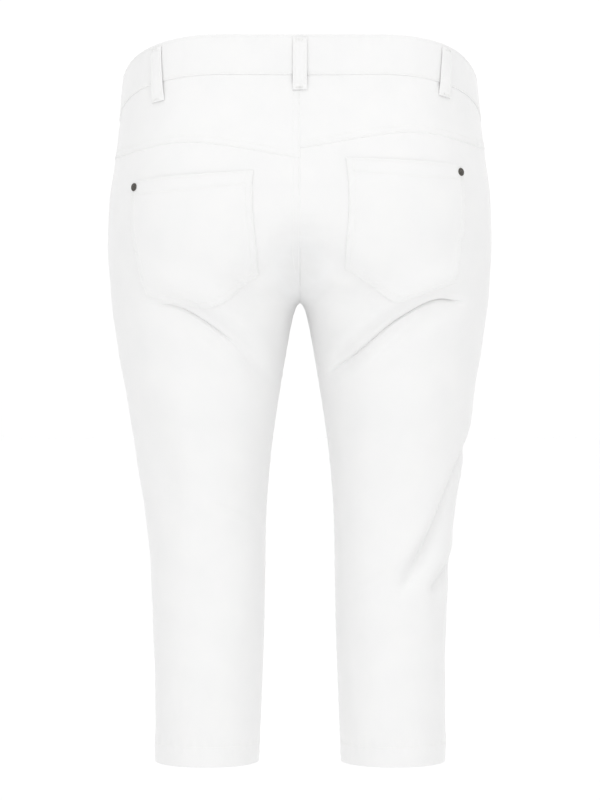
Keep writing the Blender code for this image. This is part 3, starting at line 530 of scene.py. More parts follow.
def fold_relief(fold, across, level):
    """How far out one fold moves places that lie across metres round from the side seam."""
    heights = np.zeros(len(across))
    near, along, above, _ = beside(smooth_path(fold.path), FOLD_REACH * fold.width, across, level)
    lip = fold.lip * peak(above / fold.width - LIP_OFFSET, LIP_WIDTH)
    line = fold.line * peak(above, np.where(above > 0, LINE_ABOVE, LINE_BELOW))
    strength = eased(along / fold.fade) * eased((1 - along) / fold.fade)
    heights[near] = strength * (fold.depth * (lip - peak(above, fold.width)) - line)
    return heights


def waves(ripples, across, level):
    total = 0.0
    for ripple in ripples:
        heading = math.radians(ripple.heading)
        travel = across * math.cos(heading) + level * math.sin(heading)
        total = total + ripple.height * np.sin(math.tau * travel / ripple.length + ripple.phase)
    return total


def relief(side, turn, level):
    """How far the folds move each point of the cloth out of the smooth form. A fold may run
    over the centre seams, but none reaches the inseam or the crotch."""
    length = reach(turn, level)
    from_other_half = np.where(turn >= 0, 2 - turn, -2 - turn)
    total = waves(RIPPLES, np.abs(turn) * length + RIPPLE_SHIFT * side, level)
    for fold in FOLDS + FINE_FOLDS:
        across = np.where(side == fold.side, turn, from_other_half) * length
        total += fold_relief(fold, across, level)
    joined = eased((level - CROTCH_LEVEL) / SEAM_FADE)
    clear = eased((1 - np.abs(turn)) * length / SEAM_FADE)
    return total * (joined + (1 - joined) * clear)


def creased(side, turn, level, lining):
    """Depths of the sharp creases at some places, and the places that they draw the cloth to.
    The lining's face, inside the cloth, passes under the grooves instead."""
    length = reach(turn, level)
    depths, places = np.zeros(len(turn)), np.stack([turn * length, level], axis=1)
    for crease in CREASES:
        across = np.where(side == crease.fold.side, turn * length, -1.0)
        path = smooth_path(crease.fold.path, count=240)
        near, along, above, upward = beside(path, 3 * LINING_SPREAD, across, level)
        strength = (eased((along - crease.start) / CREASE_FADE)
                    * eased((crease.end - along) / CREASE_FADE)
                    * (1 + crease.taper * (0.5 - along)))
        if lining:
            cover = peak(above, LINING_SPREAD)
            depths[near] += strength * (crease.depth + LINING_DEPTH) * cover
            continue
        groove = peak(above, np.where(above > 0, GROOVE_ABOVE, GROOVE_BELOW))
        depths[near] += strength * crease.depth * groove
        drawn = crease.tuck * strength * peak(above - TUCK_PLACE, TUCK_SPREAD)
        places[near] -= upward * drawn[:, None]
    across, level = places.T
    return depths, across / reach(turn, level), level


def on_cloth(side, turn, level, offset=0.0, lining=False):
    """Points that stand offset out of the cloth's outer face, and the form's normals there.
    turn, level and offset may be grids of one shape. A fold moves the edges on the centre plane
    within it, so the centre seams stay closed."""
    turn, level, offset = np.broadcast_arrays(turn, level, offset)
    shape = turn.shape
    side, turn = past_the_edge(np.full(turn.size, side), turn.ravel(), level.ravel())
    level = level.ravel()
    folded = relief(side, turn, level)
    depths, turn, level = creased(side, turn, level, lining)
    mirror = np.stack([side, np.ones(len(turn)), np.ones(len(turn))], axis=1)
    out = sampled(FORM_NORMALS, turn, level) * mirror
    out /= np.linalg.norm(out, axis=1)[:, None]
    points = sampled(FORM_POINTS, turn, level) * mirror
    drawn = out * folded[:, None]
    drawn[:, 0] *= eased(np.abs(points[:, 0]) / CENTRE_EASE)
    points = points + drawn + out * (offset.ravel() - depths)[:, None]
    return points.reshape(*shape, 3), out.reshape(*shape, 3)


# ---- seam lines


def waist_level(turn):
    """Height of the waist's edge, which slopes down to the front, found in WAIST_ROUNDS steps."""
    turn = np.asarray(turn, float)
    turn = np.where(np.abs(turn) > 1, np.sign(turn) * (2 - np.abs(turn)), turn)
    level = np.zeros_like(turn)
    for _ in range(WAIST_ROUNDS):
        level = WAIST_SLOPE * sampled(FORM_POINTS, turn, level)[..., 1]
    return level


def band_seam_level(turn):
    return waist_level(turn) - BAND_HEIGHT


def yoke_seam_level(side, turn):
    return through_rows(YOKE_SEAM, "turn", "level", np.abs(turn)) - YOKE_DROP[side]


# ---- materials


def plug(tree, node, inputs):
    """Sets some of a node's sockets to values, or links them to other nodes' sockets."""
    for name, value in inputs.items():
        if isinstance(value, bpy.types.NodeSocket):
            tree.links.new(value, node.inputs[name])
        else:
            node.inputs[name].default_value = value


def put(tree, kind, inputs, **settings):
    node = tree.nodes.new("ShaderNode" + kind)
    for name, value in settings.items():
        setattr(node, name, value)
    plug(tree, node, inputs)
    return node


def maths(tree, operation, *values):
    return put(tree, "Math", dict(enumerate(values)), operation=operation).outputs[0]


def new_material(name, finish):
    """A material, its node tree and its shader, which has the given finish."""
    made = bpy.data.materials.new(name)
    made.use_nodes = True
    shader = made.node_tree.nodes["Principled BSDF"]
    plug(made.node_tree, shader, finish)
    return made, made.node_tree, shader


def raise_relief(tree, shader, height, strength, depth):
    bump = put(tree, "Bump", {"Height": height, "Strength": strength, "Distance": depth})
    plug(tree, shader, {"Normal": bump.outputs["Normal"]})


def colour(tree, shader, tone, stops):
    """Colours a surface by its tone, through a ramp of (tone, colour) stops."""
    ramp = put(tree, "ValToRGB", {"Fac": tone})
    elements = ramp.color_ramp.elements
    elements[0].position, elements[1].position = stops[0][0], stops[-1][0]
    for position, _ in stops[1:-1]:
        elements.new(position)
    for element, (_, shade) in zip(elements, stops):
        element.color = (*shade, 1)
    plug(tree, shader, {"Base Color": ramp.outputs["Color"]})


def out_of_the_painted_shade(tree):
    """0 in the middle of the painted shade under the seat, where the four seams meet, and 1 all round that:
    the mask that greys the cloth's colour where shade falls."""
    scaled = put(tree, "Mapping", {
        "Vector": put(tree, "TexCoord", {}).outputs["Object"],
        "Location": (0, 0, -PAINTED_SHADE_LEVEL / PAINTED_SHADE_HEIGHT),
        "Scale": (1 / PAINTED_SHADE_WIDTH, 0, 1 / PAINTED_SHADE_HEIGHT),
    })
    away = put(tree, "VectorMath", {0: scaled.outputs["Vector"]}, operation="LENGTH")
    clear = put(tree, "MapRange", {"Value": away.outputs["Value"]}, interpolation_type="SMOOTHSTEP")
    return clear.outputs["Result"]


def twill_material():
    """White cotton twill: fine diagonal ribs, finer threads across them and a soft nap. Its colour has a
    painted shade, greyer under the seat where shade falls.
    """
    finish = {"Roughness": 0.82, "Specular IOR Level": 0.25, "Sheen Weight": 0.45,
              "Sheen Roughness": 0.45}
    made, tree, shader = new_material("white_twill_cloth", finish)
    place = put(tree, "Attribute", {}, attribute_name="cut").outputs["Vector"]
    across, level, _ = put(tree, "SeparateXYZ", {0: place}).outputs
    nap = put(tree, "TexNoise", {"Vector": place, "Scale": 1700.0, "Detail": 3.0})
    cloud = put(tree, "TexNoise", {"Vector": place, "Scale": 26.0, "Detail": 4.0})

    height = maths(tree, "MULTIPLY", nap.outputs["Fac"], NAP_HEIGHT)
    for ribs in RIBS:
        turns = maths(tree, "ADD", maths(tree, "MULTIPLY", across, math.tau * ribs.across),
                      maths(tree, "MULTIPLY", level, math.tau * ribs.level))
        wave = maths(tree, "MULTIPLY", maths(tree, "SINE", turns), ribs.height)
        height = maths(tree, "ADD", height, wave)
    raise_relief(tree, shader, height, strength=0.35, depth=0.12 * MM)

    pale = maths(tree, "ADD", maths(tree, "MULTIPLY", height, RIBBING), cloud.outputs["Fac"])
    # painted shade: the tone, and so the colour, is darker under the seat
    tone = maths(tree, "ADD", maths(tree, "MULTIPLY", pale, 1 - PAINTED_SHADE_SHARE),
                 maths(tree, "MULTIPLY", out_of_the_painted_shade(tree), PAINTED_SHADE_SHARE))
    colour(tree, shader, tone, [(0, PAINTED_SHADE_TONE), (PAINTED_SHADE_SHARE, TWILL_GREY), (1, TWILL_WHITE)])
    return made


def thread_material():
    """White sewing thread, its plies as slanting lines."""
    finish = {"Base Color": (0.90, 0.90, 0.89, 1), "Roughness": 0.55, "Sheen Weight": 0.15}
    made, tree, shader = new_material("white_thread", finish)
    place = put(tree, "TexCoord", {}).outputs["Object"]
    plies = put(tree, "TexWave", {"Vector": place, "Scale": 900.0})
    raise_relief(tree, shader, plies.outputs["Fac"], strength=0.4, depth=0.06 * MM)
    return made


def gunmetal_material():
    """Dark plated metal, slightly mottled in its colour, its gloss and its relief."""
    made, tree, shader = new_material("gunmetal_plate", {"Metallic": 1.0})
    place = put(tree, "TexCoord", {}).outputs["Object"]
    mottle = put(tree, "TexNoise", {"Vector": place, "Scale": 900.0, "Detail": 5.0}).outputs["Fac"]
    colour(tree, shader, mottle, [(0.3, (0.085, 0.080, 0.072)), (0.75, (0.17, 0.163, 0.148))])
    rough = put(tree, "MapRange", {"Value": mottle, "To Min": 0.28, "To Max": 0.50})
    plug(tree, shader, {"Roughness": rough.outputs["Result"]})
    raise_relief(tree, shader, mottle, strength=0.15, depth=0.05 * MM)
    return made


TWILL = twill_material()
THREAD = thread_material()
GUNMETAL = gunmetal_material()


# ---- meshes


def add_mesh(name, points, faces, material, cut=None):
    """A smooth-shaded object. faces is a list of arrays, each of faces with as many corners."""
    mesh = bpy.data.meshes.new(name)
    sizes = np.concatenate([np.full(len(f), f.shape[1]) for f in faces])
    corners = np.concatenate([f.ravel() for f in faces]).astype(np.int32)
    mesh.vertices.add(len(points))
    mesh.vertices.foreach_set("co", np.asarray(points, np.float32).ravel())
    mesh.loops.add(len(corners))
    mesh.loops.foreach_set("vertex_index", corners)
    mesh.polygons.add(len(sizes))
    starts = np.concatenate([[0], np.cumsum(sizes)[:-1]]).astype(np.int32)
    mesh.polygons.foreach_set("loop_start", starts)
    mesh.update(calc_edges=True)
    mesh.validate()
    mesh.shade_smooth()
    if cut is not None:
        places = mesh.attributes.new("cut", "FLOAT_VECTOR", "POINT")
        places.data.foreach_set("vector", np.asarray(cut, np.float32).ravel())
    mesh.materials.append(material)
    made = bpy.data.objects.new(name, mesh)
    bpy.context.scene.collection.objects.link(made)
    return made


def cells(rows, columns):
    """Faces of a grid of points, wound to face out on the left half."""
    at = np.arange(rows * columns).reshape(rows, columns)
    corners = at[:-1, :-1], at[:-1, 1:], at[1:, 1:], at[1:, :-1]
    return np.stack([c.ravel() for c in corners], axis=1)


def border(rows, columns):
    """Indices of a grid's outer points, once round."""
    at = np.arange(rows * columns).reshape(rows, columns)
    return np.concatenate([at[0], at[1:-1, -1], at[-1, ::-1], at[-2:0:-1, 0]])


def add_wall(name, side, turn, level, outer, inner, lined=False):
    """A closed wall of cloth over a grid of places. outer and inner are its faces' distances
    from the cloth's outer face. A lined wall's inner face passes under the creases."""
    rows, columns = turn.shape
    count = rows * columns
    faces = cells(rows, columns)
    rim = border(rows, columns)
    after = np.roll(rim, -1)
    sides = np.stack([rim, rim + count, after + count, after], axis=1)
    faces = np.concatenate([faces, faces[:, ::-1] + count, sides])
    if side == RIGHT:
        faces = faces[:, ::-1]
    points = np.concatenate([
        on_cloth(side, turn, level, outer)[0].reshape(-1, 3),
        on_cloth(side, turn, level, inner, lined)[0].reshape(-1, 3),
    ])
    places = np.stack([turn * reach(turn, level), level, np.zeros(turn.shape)], axis=2)
    cut = np.tile(places.reshape(-1, 3), (2, 1))
    wall = add_mesh(name + "_cloth", points, [faces], TWILL, cut)
    settle(wall, "white_twill", name)
    return wall


def settle(piece, slot, *nodes):
    """Gives a piece its body and hides the solids that it stands for."""
    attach(piece, "root")
    if nodes:
        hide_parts(*nodes)


def spread(length, start, end, step):
    """Distances from 0 to length: the given ones near both ends, and even ones between."""
    length = np.asarray(length, float)[..., None]
    count = max(2, round(float(np.max(length) - start[-1] - end[-1]) / step))
    shares = np.linspace(0, 1, count + 1)[1:-1]
    first, last = start[-1], length - end[-1]
    near = np.broadcast_to(start, (*length.shape[:-1], len(start)))
    return np.concatenate([near, first + (last - first) * shares, length - end[::-1]], axis=-1)


def seam_dip(distance, along, depth=1.0, strength=1.0):
    """How far cloth sinks, rolls under and puckers at a distance from a seam."""
    share = np.clip(1 - distance / SEAM_ROUND, 0, 1)
    roll = SEAM_ROLL * (1 - np.sqrt(1 - share**2))
    valley = SEAM_VALLEY * peak(np.maximum(distance, 0), SEAM_WIDTH)
    pucker = waves(PUCKERS, along, 0.0) * peak(distance, PUCKER_REACH)
    return strength * (pucker - depth * (roll + valley)) + np.minimum(distance, 0)


def sewn_down(distance, rows):
    """The channels that rows of stitches pull into the cloth."""
    return -STITCH_SINK * sum(peak(distance - row, STITCH_SPREAD) for row in rows)


def rolled(outer, inner, distance):
    """A wall's faces with both brought together where it ends in a folded edge."""
    share = np.clip(1 - distance / EDGE_ROUND, 0, 1)
    half = EDGE_SHARE * (outer - inner) * (1 - np.sqrt(1 - share**2))
    return outer - half, inner + half


def add_cloth(name, side, turn, level, outer, inner, rows, lined=False):
    """A piece of cloth, its stitches and its declared cut."""
    wall = add_wall(name, side, turn, level, outer, inner, lined)
    add_stitching(name, rows)


# ---- stitches

# A stitch's rings: place along it, thickness, and how far it sinks, in shares of its length and
# of the thread's radius.
RINGS = [(-0.5, 0.45, -1.1), (-0.3, 0.95, 0.0), (0.3, 0.95, 0.0), (0.5, 0.45, -1.1)]
RING_SIDES = 6

# A row of stitches, as turns and levels in order. offset is their distance from the cloth.
StitchRow = namedtuple("StitchRow", "side turn level offset")


def between_ends(margin, count):
    """Shares along a row that starts and ends a margin inside its piece."""
    return np.linspace(margin, 1 - margin, count)


def row_on(face, side, turn, level):
    """A row of stitches on the outer face of a piece."""
    return StitchRow(side, turn, level, face(side, turn, level))


def stitch_mesh(centres, headings, outs, lengths):
    """Points and faces of many capsules that lie on the cloth."""
    across = np.cross(outs, headings)
    rings = []
    for place, thickness, sink in RINGS:
        middle = centres + headings * (place * lengths)[:, None] + outs * sink * THREAD_RADIUS
        for k in range(RING_SIDES):
            angle = math.tau * k / RING_SIDES
            aside = across * math.cos(angle) + outs * math.sin(angle)
            rings.append(middle + THREAD_RADIUS * thickness * aside)
    points = np.stack(rings, axis=1).reshape(-1, 3)

    last = (len(RINGS) - 1) * RING_SIDES
    caps = [list(range(RING_SIDES))[::-1], list(range(last, last + RING_SIDES))]
    quads = []
    for here in range(0, last, RING_SIDES):
        for k in range(RING_SIDES):
            after = (k + 1) % RING_SIDES
            quads.append((here + k, here + after, here + RING_SIDES + after, here + RING_SIDES + k))
    first = (np.arange(len(centres)) * len(RINGS) * RING_SIDES)[:, None, None]
    return points, [(first + np.array(quads)).reshape(-1, 4),
                    (first + np.array(caps)).reshape(-1, RING_SIDES)]


def stitches_along(row):
    """Centres, headings, normals and lengths of the stitches on one row."""
    points, outs = on_cloth(row.side, row.turn, row.level, row.offset + THREAD_LIFT)
    steps = np.linalg.norm(np.diff(points, axis=0), axis=1)
    lengths = np.concatenate([[0], np.cumsum(steps)])
    count = max(1, int((lengths[-1] - STITCH_LENGTH) / STITCH_PITCH))
    starts = STITCH_PITCH * (0.4 + np.arange(count))

    def at(distance, values):
        return np.stack([np.interp(distance, lengths, values[:, k]) for k in range(3)], axis=1)

    start, end = at(starts, points), at(starts + STITCH_LENGTH, points)
    middle, out = at(starts + STITCH_LENGTH / 2, points), at(starts + STITCH_LENGTH / 2, outs)
    heading = end - start
    length = np.linalg.norm(heading, axis=1)
    heading /= length[:, None]
    out -= heading * (out * heading).sum(axis=1)[:, None]
    out /= np.linalg.norm(out, axis=1)[:, None]
    return (start + end + middle) / 3, heading, out, length


def add_stitching(name, rows):
    """All the stitches of some rows, as one joined mesh."""
    parts = [stitches_along(row) for row in rows]
    centres, headings, outs, lengths = (np.concatenate(column) for column in zip(*parts))
    points, faces = stitch_mesh(centres, headings, outs, lengths)
    stitching = add_mesh(name + "_stitching", points, faces, THREAD)
    settle(stitching, "white_twill")
    return stitching


# ---- leg panels

# Spacing of the legs' rows, closest where the creases are and at the hem's sewing.
RowSpacing = namedtuple("RowSpacing", "level back front")
ROW_SPACINGS = [
    RowSpacing(-0.740, 0.0014, 0.0017),
    RowSpacing(-0.710, 0.0017, 0.0020),
    RowSpacing(-0.692, 0.0042, 0.0045),
    RowSpacing(-0.620, 0.0036, 0.0040),
    RowSpacing(-0.570, 0.0027, 0.0032),
    RowSpacing(-0.400, 0.0028, 0.0030),
    RowSpacing(-0.320, 0.0024, 0.0026),
    RowSpacing(-0.286, 0.0014, 0.0024),
    RowSpacing(-0.279, 0.0005, 0.0023),
    RowSpacing(-0.267, 0.0005, 0.0023),
    RowSpacing(-0.260, 0.0014, 0.0022),
    RowSpacing(-0.220, 0.0017, 0.0022),
    RowSpacing(-0.160, 0.0026, 0.0024),
    RowSpacing(-0.070, 0.0032, 0.0030),
]
SPACING_SAMPLES = 600
SEAM_CROWDING = 1.9
# The row that is moved onto the crease, and how far above and below it other rows bend with it.
CREASE_ROW, CREASE_BEND = -0.274, 0.100


def graded(start, end, face):
    """Shares from 0 to 1 whose steps, between two levels, follow the row spacings."""
    levels = np.linspace(start, end, SPACING_SAMPLES)
    spacing = through_rows(ROW_SPACINGS, "level", FACE_NAMES[face], levels)
    rows = np.concatenate([[0], np.cumsum(np.diff(levels) / spacing[1:])])
    wanted = np.linspace(0, rows[-1], round(rows[-1]) + 1)
    return (np.interp(wanted, rows, levels) - start) / (end - start)


def panel_top(side, face, turn):
    return yoke_seam_level(side, turn) if face == BACK else band_seam_level(turn)


def panel_levels(side, face, shares):
    """Levels of a panel's rows, for columns at shares of its width."""
    top = panel_top(side, face, face * shares)
    leg = graded(HEM_LEVEL + FOLDED[-1], CROTCH_LEVEL, face)[:-1]
    leg = HEM_LEVEL + FOLDED[-1] + leg * (CROTCH_LEVEL - HEM_LEVEL - FOLDED[-1])
    leg = np.concatenate([HEM_LEVEL + FOLDED[:-1], leg])
    body = graded(CROTCH_LEVEL, float(top.mean()) - SEWN[-1], face)[:, None]
    body = body + (body**SEAM_CROWDING - body) * np.clip(shares, 0, 1) ** 2
    body = CROTCH_LEVEL + (top - SEWN[-1] - CROTCH_LEVEL) * body
    return np.vstack([leg[:, None] + 0 * shares, body, top - SEWN[-2::-1, None]])


def panel_turns(face, level, shares):
    """Turns of a panel's columns: at fixed distances from its borders, and evenly between."""
    length = reach(face, level)
    edge = len(SEWN)
    between = (shares[edge:-edge] - shares[edge - 1]) / (1 - 2 * shares[edge - 1])
    first = SEWN[-1] / length[:, :1]
    return face * np.concatenate([
        SEWN / length[:, :edge],
        first + (1 - 2 * first) * between + 0 * length[:, edge:-edge],
        1 - SEWN[::-1] / length[:, -edge:],
    ], axis=1)


def along_the_crease(side, turn, level):
    """A back panel's levels, bent so that the crease row lies on the panel's crease."""
    crease = next(crease for crease in CREASES if crease.fold.side == side)
    path = smooth_path(crease.fold.path)
    shares, _ = path_shares(path)
    across, target = path[(shares > crease.start) & (shares < crease.end)].T
    turns = np.concatenate([[0], across / reach(BACK, target), [1]])
    target = np.interp(turn, turns, [CREASE_ROW, *target, CREASE_ROW])
    bend = np.cos(np.clip((level - CREASE_ROW) / CREASE_BEND, -1, 1) * math.pi / 2) ** 2
    return level + (target - CREASE_ROW) * bend


def panel_grid(side, face):
    """Turns and levels of one leg panel's points."""
    widest = float(reach(face, CROTCH_LEVEL))
    shares = spread(widest, SEWN, SEWN, COLUMN_STEP[face]) / widest
    level = panel_levels(side, face, shares)
    turn = panel_turns(face, level, shares)
    if face == BACK:
        level = along_the_crease(side, turn, level)
        turn = panel_turns(face, level, shares)
    return turn, level


def panel_face(face, side, turn, level):
    """How far a panel's outer face stands out of the cloth's level."""
    length = reach(face, level)
    from_side = np.abs(turn) * length
    from_inner = length - from_side
    from_hem = level - HEM_LEVEL
    inner_depth = np.where(level > CROTCH_LEVEL, CENTRE_SEAM, 1.0)
    from_crotch = eased(np.abs(level - CROTCH_LEVEL) / SEAM_FADE)
    outer = (seam_dip(from_side, level)
             + seam_dip(from_inner, level + INNER_PUCKERS, inner_depth, from_crotch)
             + seam_dip(panel_top(side, face, turn) - level, from_side, LAPPED_SEAM))
    hem_pucker = waves(PUCKERS, from_side, 0.0) * peak(from_hem - HEM_STITCH, PUCKER_REACH)
    outer = outer + HEM_PUCKERS * hem_pucker + sewn_down(from_hem, [HEM_STITCH])
    if side == LEFT:
        outer = outer + sewn_down(from_inner, TOPSTITCH) * (level > CROTCH_LEVEL)
    return outer


def leg_panel(side, face):
    """A front or a back, from its turned-up hem to its top seam."""
    turn, level = panel_grid(side, face)
    outer = panel_face(face, side, turn, level)
    from_hem = level - HEM_LEVEL
    hemmed = eased((HEM_DEPTH + HEM_EASE - from_hem) / HEM_EASE)
    inner = outer - (CLOTH + (HEM_CLOTH - CLOTH) * hemmed)
    outer, inner = rolled(outer, inner, from_hem)
    name = FACE_NAMES[face] + "_" + SIDE_NAMES[side]
    add_cloth(name, side, turn, level, outer, inner, panel_stitches(side, face), lined=True)


def panel_stitches(side, face):
    """The hem's row, and two rows down the left side of the centre seams."""
    outer = partial(panel_face, face)
    turn = face * between_ends(0.008, 400)
    rows = [row_on(outer, side, turn, np.full(len(turn), HEM_LEVEL + HEM_STITCH))]
    if side == LEFT:
        top = panel_top(side, face, float(face))
        if face == FRONT:
            top = top - FLY_LENGTH + FRONT_STITCH_TOP
        level = np.linspace(top, STITCH_FOOT, 300)
        rows += [row_on(outer, side, face * (1 - distance / reach(face, level)), level)
                 for distance in TOPSTITCH]
    return rows


# ---- yoke and waistband


def yoke_face(side, turn, level):
    from_low = level - yoke_seam_level(side, turn)
    across = turn * reach(BACK, level)
    outer = (seam_dip(across, level)
             + seam_dip((1 - turn) * reach(BACK, level), level + INNER_PUCKERS, CENTRE_SEAM)
             + seam_dip(from_low, across, LAPPED_SEAM)
             + seam_dip(band_seam_level(turn) - level, across, LAPPED_SEAM))
    outer = outer + YOKE_LAP * peak(from_low, YOKE_LAP_WIDTH) + sewn_down(from_low, TOPSTITCH)
    if side == LEFT:
        outer = outer + sewn_down((1 - turn) * reach(BACK, level), TOPSTITCH)
    return outer


def yoke(side):
    """The shaped piece between the waistband and the back, lapped over the back's top edge."""
    widest = float(reach(BACK, YOKE_MIDDLE))
    shares = spread(widest, SEWN, SEWN, COLUMN_STEP[BACK]) / widest
    low, high = yoke_seam_level(side, shares), band_seam_level(shares)
    level = (low[:, None] + spread(high - low, SEWN, SEWN, YOKE_STEP)).T
    turn = shares + 0 * level
    outer = yoke_face(side, turn, level)

    along = between_ends(0.006, 500)
    rows = [row_on(yoke_face, side, along, yoke_seam_level(side, along) + distance)
            for distance in TOPSTITCH]
    if side == LEFT:
        down = np.linspace(band_seam_level(1.0), yoke_seam_level(side, 1.0), 120)
        rows += [row_on(yoke_face, side, 1 - distance / reach(BACK, down), down)
                 for distance in TOPSTITCH]
    add_cloth("yoke_" + SIDE_NAMES[side], side, turn, level, outer, outer - CLOTH, rows)


def band_face(side, turn, level):
    """How far the waistband's outer face stands out of the cloth's level."""
    high = waist_level(turn)
    from_low, from_high = level - high + BAND_HEIGHT, high - level
    length = reach(turn, level)
    outer = BAND_PROUD + BAND_SWELL * np.sin(math.pi * np.clip(from_low / BAND_HEIGHT, 0, 1))
    outer = outer + seam_dip(from_low, turn * length, LAPPED_SEAM)
    outer = outer + seam_dip((1 - turn) * length, level, CENTRE_SEAM)
    outer = outer + sewn_down(from_low, BAND_STITCHES)
    puckers = waves(PUCKERS, turn * length + BAND_PUCKER_SHIFT, 0.0)
    outer = outer + puckers * peak(from_high, PUCKER_REACH)
    from_centre = (turn + 1) * length
    if side == LEFT:
        return outer + BAND_LIFT * eased((BAND_LAP - from_centre) / BAND_LAP)
    return outer - BAND_TUCK * eased((2 * BAND_LAP - from_centre) / BAND_LAP)


def waistband(side):
    """Half the waistband. The left half laps over the right at the centre front."""
    front, back = float(reach(FRONT, 0.0)), float(reach(BACK, 0.0))
    past_centre = BAND_LAP if side == LEFT else BAND_LAP / 4
    seamless = np.array([0.0])
    over_front = spread(front + past_centre, FOLDED, seamless, BAND_STEP) - front - past_centre
    over_back = spread(back, seamless, SEWN, BAND_STEP)[1:]
    along = np.concatenate([over_front / front, over_back / back])
    high = waist_level(along)
    rows_up = spread(BAND_HEIGHT, SEWN[1:], FOLDED, BAND_ROW_STEP)[:, None]
    level = high - BAND_HEIGHT + rows_up
    turn = along + 0 * level
    outer = band_face(side, turn, level)
    from_end = (turn + 1) * front + past_centre
    outer, inner = rolled(outer, outer - BAND_CLOTH, np.minimum(high - level, from_end))

    first = -1 - (past_centre - BAND_STITCHES[0]) / front
    if side == RIGHT:
        first = -1 + BAND_LAP / front
    places = np.linspace(first, BAND_ROW_END, 900)
    rows = [row_on(band_face, side, places, waist_level(places) - BAND_HEIGHT + distance)
            for distance in BAND_STITCHES]
    if side == LEFT:
        up = waist_level(first) - BAND_HEIGHT + np.linspace(*BAND_STITCHES[::-1], 80)
        rows.append(row_on(band_face, side, np.full(len(up), first), up))
    add_cloth("waistband_" + SIDE_NAMES[side], side, turn, level, outer, inner, rows)


# ---- pockets and fly


def pocket_foot(pocket, share):
    """The V of a pocket's lower edge, softened at its tip."""
    outer_across, outer_level = pocket.outer_foot
    inner_across, inner_level = pocket.inner_foot
    tip_across, tip_level = pocket.tip
    width = inner_across - outer_across
    tip = (tip_across - outer_across) / width
    outer_line = outer_level + (tip_level - outer_level) * share / tip
    inner_line = inner_level + (tip_level - inner_level) * (1 - share) / (1 - tip)
    softening = np.hypot(outer_line - inner_line, TIP_SOFTNESS)
    return outer_across + width * share, (outer_line + inner_line + softening) / 2


def pocket_place(pocket, share, down):
    """(across, level) inside a pocket, by shares of its width and its height."""
    top = [outer + (inner - outer) * share
           for outer, inner in zip(pocket.outer_top, pocket.inner_top)]
    return [high + (low - high) * down for high, low in zip(top, pocket_foot(pocket, share))]


def pocket_distances(pocket, share, down):
    """How far places in a pocket are from its top, its foot and its nearer side."""
    width = pocket.inner_top[0] - pocket.outer_top[0]
    level = pocket_place(pocket, share, down)[1]
    from_top = pocket_place(pocket, share, 0 * down)[1] - level
    from_foot = level - pocket_foot(pocket, share)[1]
    return from_top, from_foot, np.minimum(share, 1 - share) * width


def pocket_gape(share, from_top):
    """How far a pocket's mouth stands off the cloth behind it."""
    return POCKET_GAPE * np.sin(math.pi * np.clip(share, 0, 1)) * np.exp(-from_top / POCKET_HEM)


def pocket_face(pocket, share, down):
    """How far a pocket's outer face stands out of the back: more where its edges are turned in."""
    from_top, from_foot, from_side = pocket_distances(pocket, share, down)
    from_edge = np.minimum(from_side, from_foot)
    across, level = pocket_place(pocket, share, down)
    outer = POCKET_CLOTH + pocket_gape(share, from_top)
    rise = POCKET_TURNING_RISE * eased((POCKET_TURNING - from_edge) / POCKET_TURNING_EASE)
    rise = rise + POCKET_HEM_RISE * eased((POCKET_HEM - from_top) / POCKET_HEM_EASE)
    sewn = sewn_down(from_edge, TOPSTITCH) + sewn_down(from_top, POCKET_HEM_STITCHES)
    puckers = waves(PUCKERS, level + across, 0.0) * peak(from_edge, PUCKER_REACH)
    return outer + rise + sewn + POCKET_PUCKERS * puckers


def back_pocket(pocket):
    """A patch pocket: hemmed across its top, turned under and sewn down round the rest."""
    width = pocket.inner_top[0] - pocket.outer_top[0]
    height = pocket.outer_top[1] - pocket.outer_foot[1]
    share = spread(width, FOLDED, FOLDED, POCKET_STEP) / width
    down = spread(height, FOLDED, FOLDED, POCKET_STEP)[::-1, None] / height
    share, down = np.broadcast_arrays(share, down)
    across, level = pocket_place(pocket, share, down)
    from_top, from_foot, from_side = pocket_distances(pocket, share, down)
    outer = pocket_face(pocket, share, down)
    inner = POCKET_LIFT + pocket_gape(share, from_top)
    outer, inner = rolled(outer, inner, np.minimum(np.minimum(from_side, from_foot), from_top))
    inner = np.where(from_top < POCKET_HEM, inner, POCKET_LIFT)
    rows = [pocket_row(pocket, *places) for places in pocket_stitches(pocket, width, height)]
    add_cloth("back_pocket_" + SIDE_NAMES[pocket.side], pocket.side,
              across / reach(across, level), level, outer, inner, rows)


def pocket_row(pocket, share, down):
    across, level = pocket_place(pocket, share, down)
    offset = pocket_face(pocket, share, down)
    return StitchRow(pocket.side, across / reach(across, level), level, offset)


def pocket_stitches(pocket, width, height):
    """Shares of width and height along the rows: two round the sides and foot, and those
    across the top hem."""
    for distance in TOPSTITCH:
        edge = distance / width
        side = np.linspace(POCKET_ROW_INSET, 1, POCKET_SIDE_POINTS)
        across = between_ends(edge, POCKET_FOOT_POINTS)
        share = np.concatenate([0 * side + edge, across, 0 * side + 1 - edge])
        top_level = pocket_place(pocket, share, 0 * share)[1]
        foot = 1 - distance / (top_level - pocket_foot(pocket, share)[1])
        yield share, foot * np.concatenate([side, 0 * across + 1, side[::-1]])
    for distance in POCKET_HEM_STITCHES:
        share = between_ends(POCKET_ROW_INSET, 200)
        yield share, np.full(len(share), distance / height)


def fly_edge(from_top):
    """Distance of the fly's outer edge from the centre front, at distances below its top."""
    share = np.clip((from_top - (FLY_LENGTH - FLY_CURVE)) / FLY_CURVE, 0, 1)
    return FLY_WIDTH * np.sqrt(np.maximum(1 - share**2, 0))


def fly_face(from_outer):
    """How far the fly stands out of the front, at distances in from its sewn outer edge."""
    thickness = FLY_CLOTH * eased(from_outer / FLY_FEATHER)
    return FLY_LIFT + thickness + sewn_down(from_outer, FLY_STITCHES)


